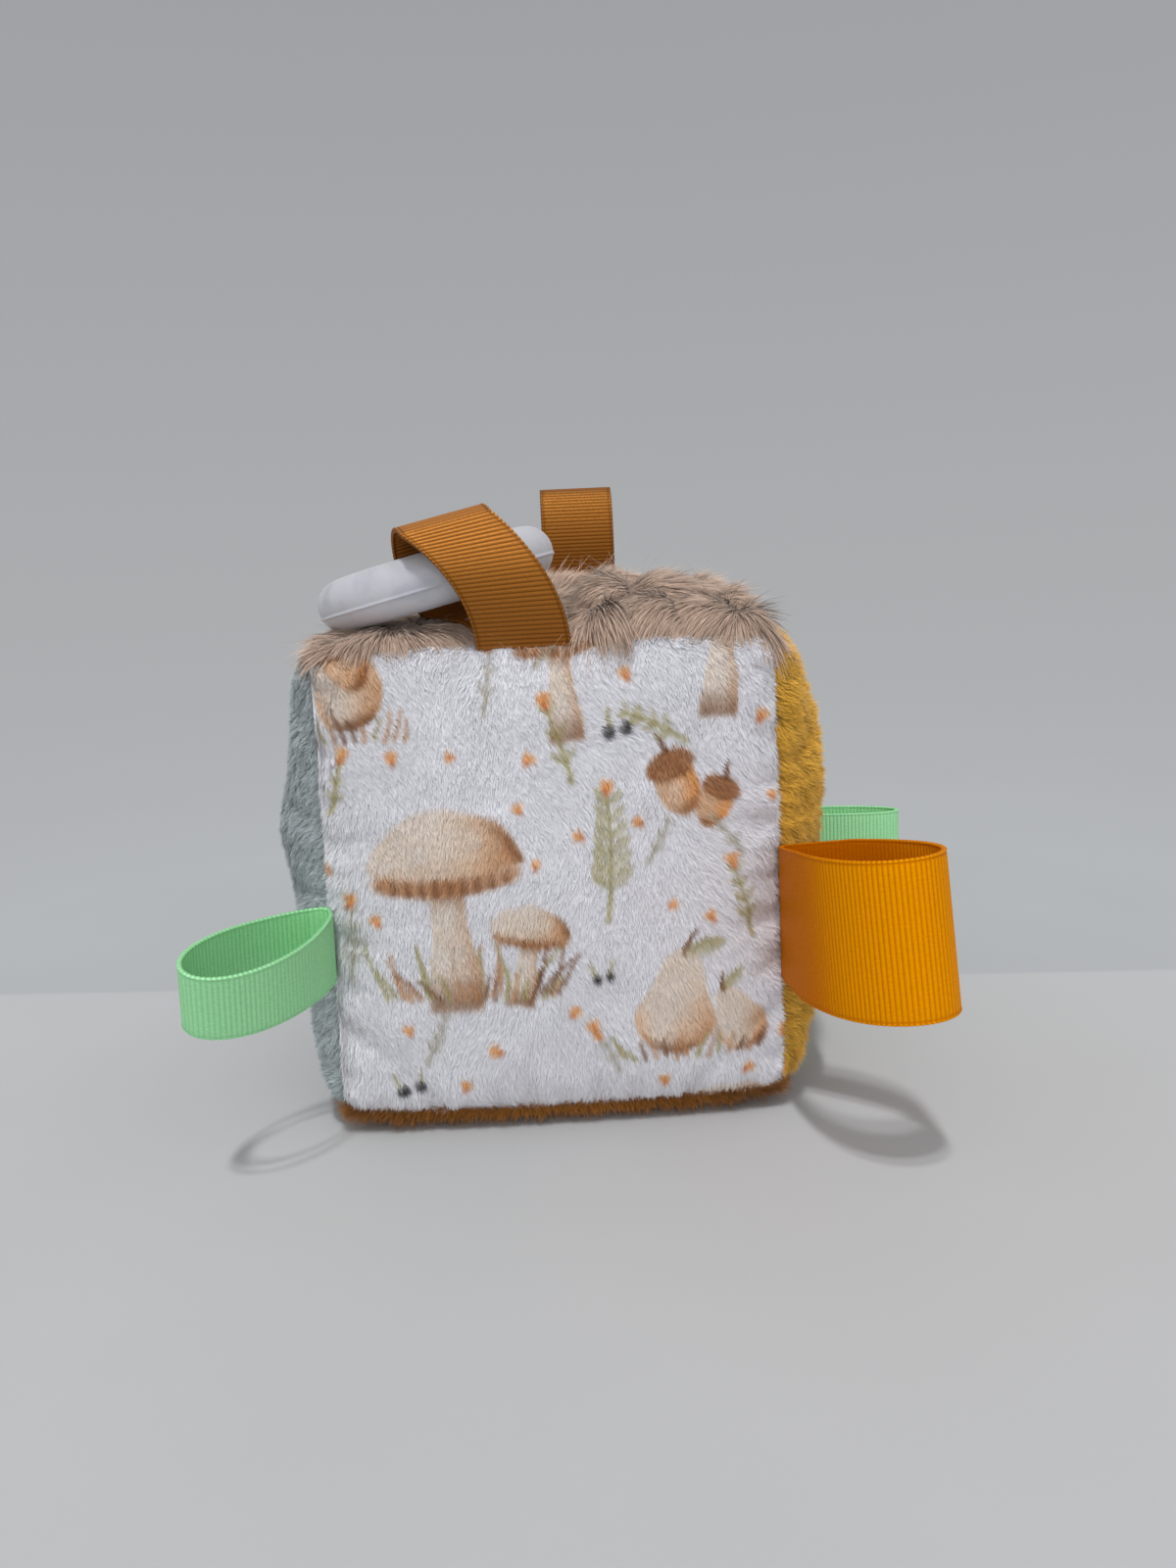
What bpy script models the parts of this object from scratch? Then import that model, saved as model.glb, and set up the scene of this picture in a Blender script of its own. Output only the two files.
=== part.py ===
# A soft fabric block for a baby: six plush panels sewn round a soft filling, ribbon loops caught
# in the seams, and a silicone teething ring held by one of the loops.
# Metres, +Z up, origin at the middle of the base, front panel towards -Y.
import bpy
from math import atan, cos, pi, radians, sin, sqrt
from mathutils import Matrix, Vector

# Clearances
SEAM_GAP = 0.0003            # between neighbouring panels
FILL_GAP = 0.0011            # between the filling and the cloth round it
SEAT_GAP = 0.0003            # between a ribbon or the ring and what it rests on

# The block, measured from seam to seam
BLOCK_WIDTH = 0.100
BLOCK_DEPTH = 0.100
BLOCK_HEIGHT = 0.1026
CORNER_DRAW = 0.0045         # how far a corner is drawn in towards the middle
SEAM_DRAW = 0.0012           # how far a seam line lies below the panels beside it
SEAM_ROLL = 0.0025           # width of the rolled edge beside a seam

# How far each panel swells past its seams at its middle
FRONT_CROWN = 0.008
REAR_CROWN = 0.009
LEFT_CROWN = 0.013
RIGHT_CROWN = 0.0135
TOP_CROWN = 0.0105
BASE_CROWN = 0.0045
BASE_FLAT = 0.0005           # how much of the bottom's swell the table presses flat

# The panels' cloth, pile included
PANEL_THICK = 0.003
ALLOWANCE_DEPTH = 0.007      # seam allowance turned in along each seam
ALLOWANCE_THICK = 0.0012
GRID_STEPS = 10              # cells across a panel between its rolled edges
FILL_STEPS = 10              # cells across a face of the filling

# Powers of the soft forms: the higher, the squarer the swell and the shorter the corner
PANEL_POWER = 2.2
FILL_POWER = 6
CORNER_POWER = 12
CLIP_POWER = 8

# Ribbons
RIBBON_THICK = 0.0008
HEM_RADIUS = 0.0005          # centre line of the small fold where both plies meet the seam
MINT_WIDTH = 0.015
BROWN_WIDTH = 0.020
ORANGE_WIDTH = 0.032
LOOP_STEPS = 26              # cells along a loop
HEM_STEPS = 4
HEM_TURN_SHARE = 0.16        # part of the drop's outline, at its point, that the fold takes up
GATHER_REACH_SHARE = 0.35    # part of a loop's length over which its gathered end opens out

# The mint loop at the left front edge. Height is that of its fold above the base, full is
# half its fullness, forward is its turn from straight out, belly puts the fullness further out
LEFT_LOOP_HEIGHT = 0.0450
LEFT_LOOP_LENGTH = 0.0385
LEFT_LOOP_FULL = 0.0081
LEFT_LOOP_LIFT = 0.0059      # how far its end bends upwards
LEFT_LOOP_FORWARD = radians(53.7)
LEFT_LOOP_RAISE = radians(-12)
LEFT_LOOP_ROLL = radians(-16.5)
LEFT_GATHER_SHARE = 1.05
LEFT_BELLY_POWER = 0.35

# The wide orange loop at the right front edge
RIGHT_LOOP_HEIGHT = 0.0462
RIGHT_LOOP_LENGTH = 0.0471
RIGHT_LOOP_FULL = 0.0104
RIGHT_LOOP_FORWARD = radians(63.5)
RIGHT_LOOP_RAISE = radians(5.8)
RIGHT_LOOP_ROLL = radians(1.8)
RIGHT_GATHER_SHARE = 0.93
RIGHT_BELLY_POWER = 1.12

# The mint loop at the right rear edge
REAR_LOOP_HEIGHT = 0.0427
REAR_LOOP_LENGTH = 0.0510
REAR_LOOP_FULL = 0.0055
REAR_LOOP_FORWARD = radians(12)
REAR_BELLY_POWER = 1.0

# The brown loop standing up at the rear top edge
TOP_LOOP_ACROSS = 0.0120     # its middle, to the right of the block's
TOP_LOOP_LENGTH = 0.0380
TOP_LOOP_FULL = 0.0065
TOP_LOOP_LEAN = radians(4)   # towards the rear
TOP_BELLY_POWER = 1.0

# The teething ring
RING_CENTRE_RADIUS = 0.0215
RING_TUBE_RADIUS = 0.006
RING_LEFT = 0.0233           # its middle, to the left of the block's
RING_BEHIND = 0.026          # its middle, behind the front seam
RING_TILT = radians(13.5)    # right side up
RING_STEPS = 44
TUBE_STEPS = 14

# The ribbon loop round the ring
RING_LOOP_LEFT = 0.0040      # middle of its sewn end, to the left of the block's
RING_LOOP_TURN = radians(15)  # where round the ring it sits, from the frontmost point
EYE_ROOM = 0.0058            # free space between the tube and the ribbon
FRONT_PLY_LEAN = radians(29)  # its plies as they leave the seam, from upright
REAR_PLY_LEAN = radians(22)
EYE_FRONT = radians(29)      # where its round top starts and ends, from the top
EYE_REAR = radians(90)
FRONT_RISE_SHARE = 2.5       # how far each end of a ply keeps its way, in seam-to-ring distances
FRONT_END_SHARE = 0.1
REAR_RISE_SHARE = 1.8
REAR_END_SHARE = 1.9
EYE_STEPS = 12
PLY_STEPS = 9

# Materials: colour and roughness
MATERIALS = {
    "white_plush": ((0.87, 0.86, 0.89), 0.9),
    "grey_green_plush": ((0.33, 0.40, 0.40), 0.9),
    "mustard_plush": ((0.62, 0.40, 0.10), 0.9),
    "taupe_fur": ((0.42, 0.32, 0.27), 0.95),
    "brown_plush": ((0.29, 0.16, 0.07), 0.9),
    "polyester_filling": ((0.90, 0.90, 0.90), 0.95),
    "brown_grosgrain": ((0.32, 0.17, 0.05), 0.5),
    "mint_grosgrain": ((0.35, 0.72, 0.45), 0.5),
    "orange_grosgrain": ((0.90, 0.42, 0.01), 0.5),
    "white_silicone": ((0.85, 0.85, 0.88), 0.35),
}
SHARP_ANGLE = radians(50)

# Panels: the way each faces, its two directions across, its swell and its cloth
X, Y, Z = Vector((1, 0, 0)), Vector((0, 1, 0)), Vector((0, 0, 1))
PANELS = {
    "front_panel": (-Y, X, Z, FRONT_CROWN, "white_plush"),
    "rear_panel": (Y, -X, Z, REAR_CROWN, "white_plush"),
    "left_panel": (-X, -Y, Z, LEFT_CROWN, "grey_green_plush"),
    "right_panel": (X, Y, Z, RIGHT_CROWN, "mustard_plush"),
    "top_panel": (Z, X, Y, TOP_CROWN, "taupe_fur"),
    "bottom_panel": (-Z, X, -Y, BASE_CROWN, "brown_plush"),
}


def half_block():
    return Vector((BLOCK_WIDTH, BLOCK_DEPTH, BLOCK_HEIGHT)) / 2


def block_centre():
    return Vector((0, 0, BASE_CROWN - BASE_FLAT + BLOCK_HEIGHT / 2))


def scaled(vector, factors):
    return Vector(a * b for a, b in zip(vector, factors))


def swell(u, v, power=PANEL_POWER):
    return (1 - abs(u) ** power) * (1 - abs(v) ** power)


def corner_draw(u, v):
    """Share by which the skin is drawn in towards the middle near a corner."""
    return CORNER_DRAW / half_block().length * abs(u * v) ** CORNER_POWER


def size_along(axis):
    return abs(half_block().dot(axis))


def panel_stops(axis):
    """Places across a panel, -1 to 1, with a narrow cell for the rolled edge at each seam."""
    edge = 1 - SEAM_ROLL / size_along(axis)
    inner = [edge * (2 * i / GRID_STEPS - 1) for i in range(GRID_STEPS + 1)]
    return [-1.0] + inner + [1.0]


def skin_point(facing, across, along, crown, u, v):
    """A point of the outer skin, from the block's middle."""
    half = half_block()
    rim = max(abs(u), abs(v)) == 1
    draw = SEAM_DRAW / size_along(facing) if rim else 0
    point = scaled(facing + across * u + along * v, half) * (1 - corner_draw(u, v) - draw)
    return point + facing * crown * swell(u, v)


def wall_point(facing, across, along, u, v, depth, inset):
    """A point of a seam wall: on the mitre between two panels, some depth below the seam."""
    half = half_block()
    share = 1 - corner_draw(u, v) - (SEAM_DRAW + depth) / size_along(facing)
    point = scaled(facing + across * u + along * v, half) * share
    step = SEAM_GAP / sqrt(2) + inset
    for axis, place in ((across, u), (along, v)):
        if abs(place) == 1:
            point -= axis * place * step
    return point


def allowance_depth(u, v):
    """Depth of the seam allowance along a seam, clipped short at the block's corners."""
    short = PANEL_THICK + ALLOWANCE_THICK
    along_seam = min(abs(u), abs(v))
    return short + (ALLOWANCE_DEPTH - short) * (1 - along_seam ** CLIP_POWER)


def panel_mesh(name):
    """One panel: outer skin, seam allowances turned in on all four sides, and inner skin."""
    facing, across, along, crown, _ = PANELS[name]
    us, vs = panel_stops(across), panel_stops(along)
    last = len(us) - 1
    centre = block_centre()
    rim = ([(i, 0) for i in range(last)] + [(last, j) for j in range(last)]
           + [(last - i, last) for i in range(last)] + [(0, last - j) for j in range(last)])
    on_rim = set(rim)
    points, outer, inner = [], {}, {}

    def add(point):
        points.append(centre + point)
        return len(points) - 1

    for i, u in enumerate(us):
        for j, v in enumerate(vs):
            if (i, j) in on_rim:
                point = wall_point(facing, across, along, u, v, 0, 0)
            else:
                point = skin_point(facing, across, along, crown, u, v)
            floor = -centre.z
            point.z = max(point.z, floor)
            outer[i, j] = add(point)
    top = wall_point(facing, across, along, 1, 0, PANEL_THICK, ALLOWANCE_THICK)
    narrow_u = top.dot(across) / size_along(across)
    top = wall_point(facing, across, along, 0, 1, PANEL_THICK, ALLOWANCE_THICK)
    narrow_v = top.dot(along) / size_along(along)
    for i, u in enumerate(us):
        for j, v in enumerate(vs):
            if (i, j) in on_rim:
                point = wall_point(facing, across, along, u, v, PANEL_THICK, ALLOWANCE_THICK)
            else:
                point = skin_point(facing, across, along, crown, u, v) - facing * PANEL_THICK
                point += across * (narrow_u - 1) * point.dot(across)
                point += along * (narrow_v - 1) * point.dot(along)
            inner[i, j] = add(point)
    deep = {}
    for i, j in rim:
        u, v = us[i], vs[j]
        depth = allowance_depth(u, v)
        deep[i, j] = (add(wall_point(facing, across, along, u, v, depth, 0)),
                      add(wall_point(facing, across, along, u, v, depth, ALLOWANCE_THICK)))
    faces = []
    for i in range(last):
        for j in range(last):
            ring = [(i, j), (i + 1, j), (i + 1, j + 1), (i, j + 1)]
            faces.append([outer[c] for c in ring])
            faces.append([inner[c] for c in reversed(ring)])
    for a, b in zip(rim, rim[1:] + rim[:1]):
        faces.append([outer[b], outer[a], deep[a][0], deep[b][0]])
        faces.append([deep[b][0], deep[a][0], deep[a][1], deep[b][1]])
        faces.append([deep[b][1], deep[a][1], inner[a], inner[b]])
    return points, faces


def filling_mesh():
    """The filling: a pillow-faced cube that stays inside the seam allowances."""
    half, centre = half_block(), block_centre()
    edge = 1 - (SEAM_DRAW + ALLOWANCE_DEPTH + FILL_GAP) / min(half)
    points, faces, seen = [], [], {}
    for facing, across, along, crown, _ in PANELS.values():
        rise = (1 - edge) * size_along(facing) - PANEL_THICK - FILL_GAP
        grid = {}
        for i in range(FILL_STEPS + 1):
            for j in range(FILL_STEPS + 1):
                u, v = 2 * i / FILL_STEPS - 1, 2 * j / FILL_STEPS - 1
                way = facing + across * u + along * v
                point = scaled(way, half) * edge * (1 - corner_draw(u, v))
                point += facing * rise * swell(u, v, FILL_POWER)
                point += facing * crown * swell(u, v)
                key = tuple(round(c * FILL_STEPS / 2) for c in way)
                if key not in seen:
                    seen[key] = len(points)
                    points.append(centre + point)
                grid[i, j] = seen[key]
        for i in range(FILL_STEPS):
            for j in range(FILL_STEPS):
                faces.append([grid[i, j], grid[i + 1, j], grid[i + 1, j + 1], grid[i, j + 1]])
    return points, faces


def material(name):
    found = bpy.data.materials.get(name)
    if found:
        return found
    colour, roughness = MATERIALS[name]
    made = bpy.data.materials.new(name)
    made.use_nodes = True
    shader = made.node_tree.nodes["Principled BSDF"]
    shader.inputs["Base Color"].default_value = (*colour, 1)
    shader.inputs["Roughness"].default_value = roughness
    shader.inputs["Metallic"].default_value = 0
    return made


def make_object(name, shape, cloth, origin=Vector((0, 0, 0))):
    """An object from (points, faces), its origin at its joint."""
    points, faces = shape
    mesh = bpy.data.meshes.new(name)
    mesh.from_pydata([point - origin for point in points], [], faces)
    mesh.shade_smooth()
    mesh.set_sharp_from_angle(angle=SHARP_ANGLE)
    mesh.materials.append(material(cloth))
    part = bpy.data.objects.new(name, mesh)
    part.location = origin
    bpy.context.scene.collection.objects.link(part)


def band_mesh(stations):
    """A closed band from (middle, half width vector, outward direction) stations."""
    points, faces = [], []
    for middle, half_width, outward in stations:
        skin = outward * RIBBON_THICK / 2
        points += [middle + half_width + skin, middle - half_width + skin,
                   middle - half_width - skin, middle + half_width - skin]
    count = len(stations)
    for i in range(count):
        a, b = 4 * i, 4 * ((i + 1) % count)
        for k in range(4):
            n = (k + 1) % 4
            faces.append([a + k, b + k, b + n, a + n])
    return points, faces


def hem_axis(corner_one, corner_two):
    """Where a ribbon's fold seats in the valley of a seam, from the block's middle."""
    outward = (corner_one + corner_two).normalized()
    valley = scaled(corner_one + corner_two, half_block())
    valley *= 1 - SEAM_DRAW / size_along(corner_one)
    return block_centre() + valley + outward * (HEM_RADIUS + RIBBON_THICK / 2 + SEAT_GAP)


def belly(turn, power):
    return sin(turn) * sin(turn / 2) ** power


def drop_outline(length, full, power):
    """A drop-shaped outline from its point round to its point: how far out, how far aside."""
    widest = 2 * atan(sqrt(1 + power))
    start = HEM_TURN_SHARE * pi
    outline = [Vector((0, 0))]
    for i in range(LOOP_STEPS + 1):
        turn = start + (2 * pi - 2 * start) * i / LOOP_STEPS
        aside = full * belly(turn, power) / belly(widest, power)
        outline.append(Vector((length * (1 - cos(turn)) / 2, aside)))
    return outline


def outline_normals(outline):
    """The outline's points after its own point, each with the way it faces, then the fold."""
    count = len(outline)
    facing = []
    for i in range(1, count):
        way = (outline[(i + 1) % count] - outline[i - 1]).normalized()
        facing.append((outline[i], Vector((-way.y, way.x))))
    first, final = facing[0][1], facing[-1][1]
    spin = first.angle_signed(final) % (2 * pi)
    for i in range(HEM_STEPS + 1):
        facing.append((outline[0], Matrix.Rotation(-spin * i / HEM_STEPS, 2) @ final))
    return facing


def loop_stations(seat, upright, outward, width, outline, roll=0, gather_share=1, lift=0):
    """Stations of a ribbon loop whose fold lies along upright, at seat, and points outward."""
    length = max(place.x for place in outline)
    stations = []
    for place, normal in outline_normals(outline):
        share = max(place.x, 0) / length
        wide = Matrix.Rotation(roll * sqrt(share), 3, outward) @ upright
        wide = (wide - outward * wide.dot(outward) * sqrt(share)).normalized()
        side = wide.cross(outward).normalized()
        facing = (outward * normal.x + side * normal.y).normalized()
        middle = seat + outward * place.x + side * place.y + facing * HEM_RADIUS
        middle += upright * lift * share
        gather = gather_share + (1 - gather_share) * min(1, share / GATHER_REACH_SHARE)
        stations.append((middle, wide * width / 2 * gather, facing))
    return stations


def pointing(side, forward, rise):
    """A direction out to one side, turned towards the front and raised."""
    return side * cos(forward) * cos(rise) - Y * sin(forward) * cos(rise) + Z * sin(rise)


def edge_seat(side, end, height):
    """A place on an upright seam, its own height above the base."""
    seat = hem_axis(side, end)
    seat.z = height
    return seat


def left_loop():
    seat = edge_seat(-X, -Y, LEFT_LOOP_HEIGHT)
    way = pointing(-X, LEFT_LOOP_FORWARD, LEFT_LOOP_RAISE)
    outline = drop_outline(LEFT_LOOP_LENGTH, LEFT_LOOP_FULL, LEFT_BELLY_POWER)
    stations = loop_stations(seat, Z, way, MINT_WIDTH, outline,
                             LEFT_LOOP_ROLL, LEFT_GATHER_SHARE, LEFT_LOOP_LIFT)
    make_object("left_loop", band_mesh(stations), "mint_grosgrain", seat)


def right_loop():
    seat = edge_seat(X, -Y, RIGHT_LOOP_HEIGHT)
    way = pointing(X, RIGHT_LOOP_FORWARD, RIGHT_LOOP_RAISE)
    outline = drop_outline(RIGHT_LOOP_LENGTH, RIGHT_LOOP_FULL, RIGHT_BELLY_POWER)
    stations = loop_stations(seat, Z, way, ORANGE_WIDTH, outline,
                             RIGHT_LOOP_ROLL, RIGHT_GATHER_SHARE)
    make_object("right_loop", band_mesh(stations), "orange_grosgrain", seat)


def rear_right_loop():
    seat = edge_seat(X, Y, REAR_LOOP_HEIGHT)
    outline = drop_outline(REAR_LOOP_LENGTH, REAR_LOOP_FULL, REAR_BELLY_POWER)
    stations = loop_stations(seat, Z, pointing(X, REAR_LOOP_FORWARD, 0), MINT_WIDTH, outline)
    make_object("rear_right_loop", band_mesh(stations), "mint_grosgrain", seat)


def rear_top_loop():
    seat = hem_axis(Y, Z) + X * TOP_LOOP_ACROSS
    way = Matrix.Rotation(-TOP_LOOP_LEAN, 3, "X") @ Z
    outline = drop_outline(TOP_LOOP_LENGTH, TOP_LOOP_FULL, TOP_BELLY_POWER)
    stations = loop_stations(seat, X, way, BROWN_WIDTH, outline)
    make_object("rear_top_loop", band_mesh(stations), "brown_grosgrain", seat)


def ring_frame():
    """The ring's three directions: to its right, to its rear, and up through its hole."""
    right = Vector((cos(RING_TILT), 0, sin(RING_TILT)))
    return right, Y, right.cross(Y)


def top_height(x, y):
    half = half_block()
    return block_centre().z + half.z + TOP_CROWN * swell(x / half.x, y / half.y)


def tube_point(centre, around, about):
    """A point of the ring: around its hole from the front, and about its tube from outside."""
    right, rear, up = ring_frame()
    away = right * sin(around) - rear * cos(around)
    return centre + away * (RING_CENTRE_RADIUS + RING_TUBE_RADIUS * cos(about)) \
        + up * RING_TUBE_RADIUS * sin(about)


def ring_centre():
    """The ring lies on the top panel: its lowest place is one clearance above the pile."""
    centre = Vector((-RING_LEFT, RING_BEHIND - BLOCK_DEPTH / 2, 0))
    need = max(top_height(p.x, p.y) - p.z
               for p in (tube_point(centre, 2 * pi * i / RING_STEPS, 2 * pi * k / TUBE_STEPS)
                         for i in range(RING_STEPS) for k in range(TUBE_STEPS)))
    return centre + Z * (need + SEAT_GAP)


def teething_ring():
    points, faces = [], []
    centre = ring_centre()
    for i in range(RING_STEPS):
        for k in range(TUBE_STEPS):
            points.append(tube_point(centre, 2 * pi * i / RING_STEPS, 2 * pi * k / TUBE_STEPS))
    for i in range(RING_STEPS):
        for k in range(TUBE_STEPS):
            a, b = i * TUBE_STEPS, (i + 1) % RING_STEPS * TUBE_STEPS
            n = (k + 1) % TUBE_STEPS
            faces.append([a + k, b + k, b + n, a + n])
    make_object("teething_ring", (points, faces), "white_silicone", tube_axis()[0])


def tube_axis():
    """The stretch of tube inside the ribbon: its middle and its direction."""
    right, rear, _ = ring_frame()
    away = right * sin(RING_LOOP_TURN) - rear * cos(RING_LOOP_TURN)
    middle = ring_centre() + away * RING_CENTRE_RADIUS
    return middle, right * cos(RING_LOOP_TURN) + rear * sin(RING_LOOP_TURN)


def hermite(start, start_way, end, end_way, share):
    s = share
    return (start * (2 * s ** 3 - 3 * s ** 2 + 1) + start_way * (s ** 3 - 2 * s ** 2 + s)
            + end * (3 * s ** 2 - 2 * s ** 3) + end_way * (s ** 3 - s ** 2))


def ring_loop_seat():
    return hem_axis(-Y, Z) - X * RING_LOOP_LEFT


def ring_loop_path():
    """The ribbon's middle line, each place with its share of the way from the seam's
    direction to the tube's: up the front ply, over the tube and down the rear ply."""
    seat = ring_loop_seat()
    eye, wide = tube_axis()
    up = (Z - wide * wide.z).normalized()
    front = wide.cross(up)
    radius = RING_TUBE_RADIUS + EYE_ROOM
    reach = (eye - seat).length

    def round_eye(angle):
        return eye + (up * cos(angle) + front * sin(angle)) * radius

    def along_eye(angle):
        return (up * sin(angle) - front * cos(angle)) * reach

    def from_seam(angle):
        return Matrix.Rotation(angle, 3, "X") @ Z

    front_way, rear_way = from_seam(FRONT_PLY_LEAN), from_seam(-REAR_PLY_LEAN)
    front_side, rear_side = X.cross(front_way), rear_way.cross(X)
    path = []
    for i in range(PLY_STEPS):
        share = i / PLY_STEPS
        place = hermite(seat + front_side * HEM_RADIUS, front_way * reach * FRONT_RISE_SHARE,
                        round_eye(EYE_FRONT), along_eye(EYE_FRONT) * FRONT_END_SHARE, share)
        path.append((place, share))
    for i in range(EYE_STEPS + 1):
        path.append((round_eye(EYE_FRONT - (EYE_FRONT + EYE_REAR) * i / EYE_STEPS), 1))
    for i in range(1, PLY_STEPS + 1):
        share = i / PLY_STEPS
        place = hermite(round_eye(-EYE_REAR), along_eye(-EYE_REAR) * REAR_END_SHARE,
                        seat + rear_side * HEM_RADIUS, -rear_way * reach * REAR_RISE_SHARE, share)
        path.append((place, 1 - share))
    sweep = front_side.angle(rear_side)
    for i in range(1, HEM_STEPS):
        turn = Matrix.Rotation(-sweep * i / HEM_STEPS, 3, "X")
        path.append((seat + turn @ rear_side * HEM_RADIUS, 0))
    return path


def ring_loop():
    path = ring_loop_path()
    wide = tube_axis()[1]
    stations = []
    for i, (place, share) in enumerate(path):
        ease = share * share * (3 - 2 * share)
        across = X.lerp(wide, ease).normalized()
        way = (path[(i + 1) % len(path)][0] - path[i - 1][0]).normalized()
        stations.append((place, across * BROWN_WIDTH / 2, across.cross(way).normalized()))
    make_object("ring_loop", band_mesh(stations), "brown_grosgrain", ring_loop_seat())


def build():
    for old in list(bpy.data.objects):
        bpy.data.objects.remove(old, do_unlink=True)
    for name, (_, _, _, _, cloth) in PANELS.items():
        make_object(name, panel_mesh(name), cloth)
    make_object("stuffing", filling_mesh(), "polyester_filling")
    left_loop()
    right_loop()
    rear_right_loop()
    rear_top_loop()
    ring_loop()
    teething_ring()


build()
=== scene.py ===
# A soft fabric block: six plush panels over a soft filling, ribbon loops in the seams and a
# silicone teething ring. Metres, +Z up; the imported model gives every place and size.
import math
import bpy
import numpy as np
from mathutils import Matrix, Vector


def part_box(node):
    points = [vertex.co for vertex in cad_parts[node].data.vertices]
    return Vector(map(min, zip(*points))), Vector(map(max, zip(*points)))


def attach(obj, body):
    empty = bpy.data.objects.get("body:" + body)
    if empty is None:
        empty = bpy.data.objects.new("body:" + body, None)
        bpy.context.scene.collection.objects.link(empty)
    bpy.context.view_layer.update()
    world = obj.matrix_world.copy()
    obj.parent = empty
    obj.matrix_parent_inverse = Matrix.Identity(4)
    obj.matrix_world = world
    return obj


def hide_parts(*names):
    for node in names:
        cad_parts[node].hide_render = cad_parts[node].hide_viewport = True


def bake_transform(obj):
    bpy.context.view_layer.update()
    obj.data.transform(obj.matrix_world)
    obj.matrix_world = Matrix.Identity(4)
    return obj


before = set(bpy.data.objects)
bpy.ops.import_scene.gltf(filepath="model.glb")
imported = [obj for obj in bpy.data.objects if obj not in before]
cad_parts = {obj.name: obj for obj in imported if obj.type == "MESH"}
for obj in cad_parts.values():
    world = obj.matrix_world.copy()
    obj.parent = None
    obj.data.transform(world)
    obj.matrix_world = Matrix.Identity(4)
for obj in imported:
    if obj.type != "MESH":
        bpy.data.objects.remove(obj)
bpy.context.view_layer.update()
millimetre = 0.001


# Small helpers

def linearArray(values):
    # sRGB values from 0 to 1, as the linear ones that shaders take
    return np.where(values <= 0.04045, values / 12.92, ((values + 0.055) / 1.055) ** 2.4)


def hexColour(text):
    return np.array([int(text[i:i + 2], 16) / 255 for i in (1, 3, 5)])


def linearColour(text, share=1.0):
    return (*(linearArray(hexColour(text)) * share).tolist(), 1.0)


def unit(vectors):
    return vectors / np.maximum(np.linalg.norm(vectors, axis=-1, keepdims=True), 1e-12)


def smoothStep(values, low, high):
    t = np.clip((values - low) / (high - low), 0, 1)
    return t * t * (3 - 2 * t)


def cellValue(cells, seed):
    # a fixed pseudo-random number from 0 to 1 for each whole-numbered cell
    span = 4294967296
    mixed = np.full(cells.shape[:-1], seed * 1013904223 % span, np.uint64)
    for axis, prime in enumerate((374761393, 668265263, 2246822519)[:cells.shape[-1]]):
        mixed = (mixed + (cells[..., axis].astype(np.int64) % 65536).astype(np.uint64) * prime) % span
        mixed = (mixed ^ (mixed >> np.uint64(13))) * np.uint64(1274126177) % span
    mixed ^= mixed >> np.uint64(16)
    return (mixed % 65536) / 65535.0


def softNoise(points, size, seed):
    # smooth noise from -1 to 1 over points of any dimension, in cells of that size
    scaled = points / size
    base = np.floor(scaled)
    part = scaled - base
    part = part * part * (3 - 2 * part)
    total = 0
    for corner in np.ndindex(*(2,) * points.shape[-1]):
        offset = np.array(corner)
        weight = np.prod(np.where(offset == 1, part, 1 - part), axis=-1)
        total = total + weight * cellValue(base + offset, seed)
    return total * 2 - 1


def layeredNoise(points, size, seed, layers=3):
    total = sum(softNoise(points, size / 2 ** k, seed + k) / 2 ** k for k in range(layers))
    return total / (2 - 2 ** (1 - layers))


def numbered(rows, columns):
    return np.arange(rows * columns).reshape(rows, columns)


def gridFaces(index):
    # the four-sided faces of a grid of point numbers
    return np.stack([index[:-1, :-1], index[1:, :-1], index[1:, 1:], index[:-1, 1:]], -1).reshape(-1, 4)


def ringFaces(index):
    # the same for a grid that closes on itself both ways
    after = np.roll(index, -1, 0)
    return np.stack([index, after, np.roll(after, -1, 1), np.roll(index, -1, 1)], -1).reshape(-1, 4)


def meshObject(name, points, faces, material=None):
    # faces are an array of four-sided ones or a list of any
    if isinstance(faces, list):
        counts = [len(f) for f in faces]
        corners = np.concatenate([np.asarray(f, np.int32) for f in faces])
    else:
        counts = [faces.shape[1]] * len(faces)
        corners = faces.astype(np.int32).ravel()
    mesh = bpy.data.meshes.new(name)
    mesh.vertices.add(len(points))
    mesh.vertices.foreach_set("co", np.asarray(points, np.float32).ravel())
    mesh.loops.add(len(corners))
    mesh.loops.foreach_set("vertex_index", corners)
    mesh.polygons.add(len(counts))
    mesh.polygons.foreach_set("loop_start", np.concatenate([[0], np.cumsum(counts)[:-1]]).astype(np.int32))
    mesh.update(calc_edges=True)
    mesh.validate()
    mesh.shade_smooth()
    if material:
        mesh.materials.append(material)
    return placed(bpy.data.objects.new(name, mesh))


def placed(made):
    bpy.context.scene.collection.objects.link(made)
    return made


def storeAttribute(made, name, values, kind="FLOAT_VECTOR"):
    field = {"FLOAT_VECTOR": "vector", "FLOAT": "value", "FLOAT_COLOR": "color"}[kind]
    attribute = made.data.attributes.new(name, kind, "POINT")
    attribute.data.foreach_set(field, np.asarray(values, np.float32).ravel())


def dropAttributes(made, names):
    for name in names:
        made.data.attributes.remove(made.data.attributes[name])


def vectorsFrom(collection, field="vector"):
    values = np.zeros(len(collection) * 3, np.float32)
    collection.foreach_get(field, values)
    return values.reshape(-1, 3)


# Nodes, for materials and for the two trees that make pile and ribs

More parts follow.
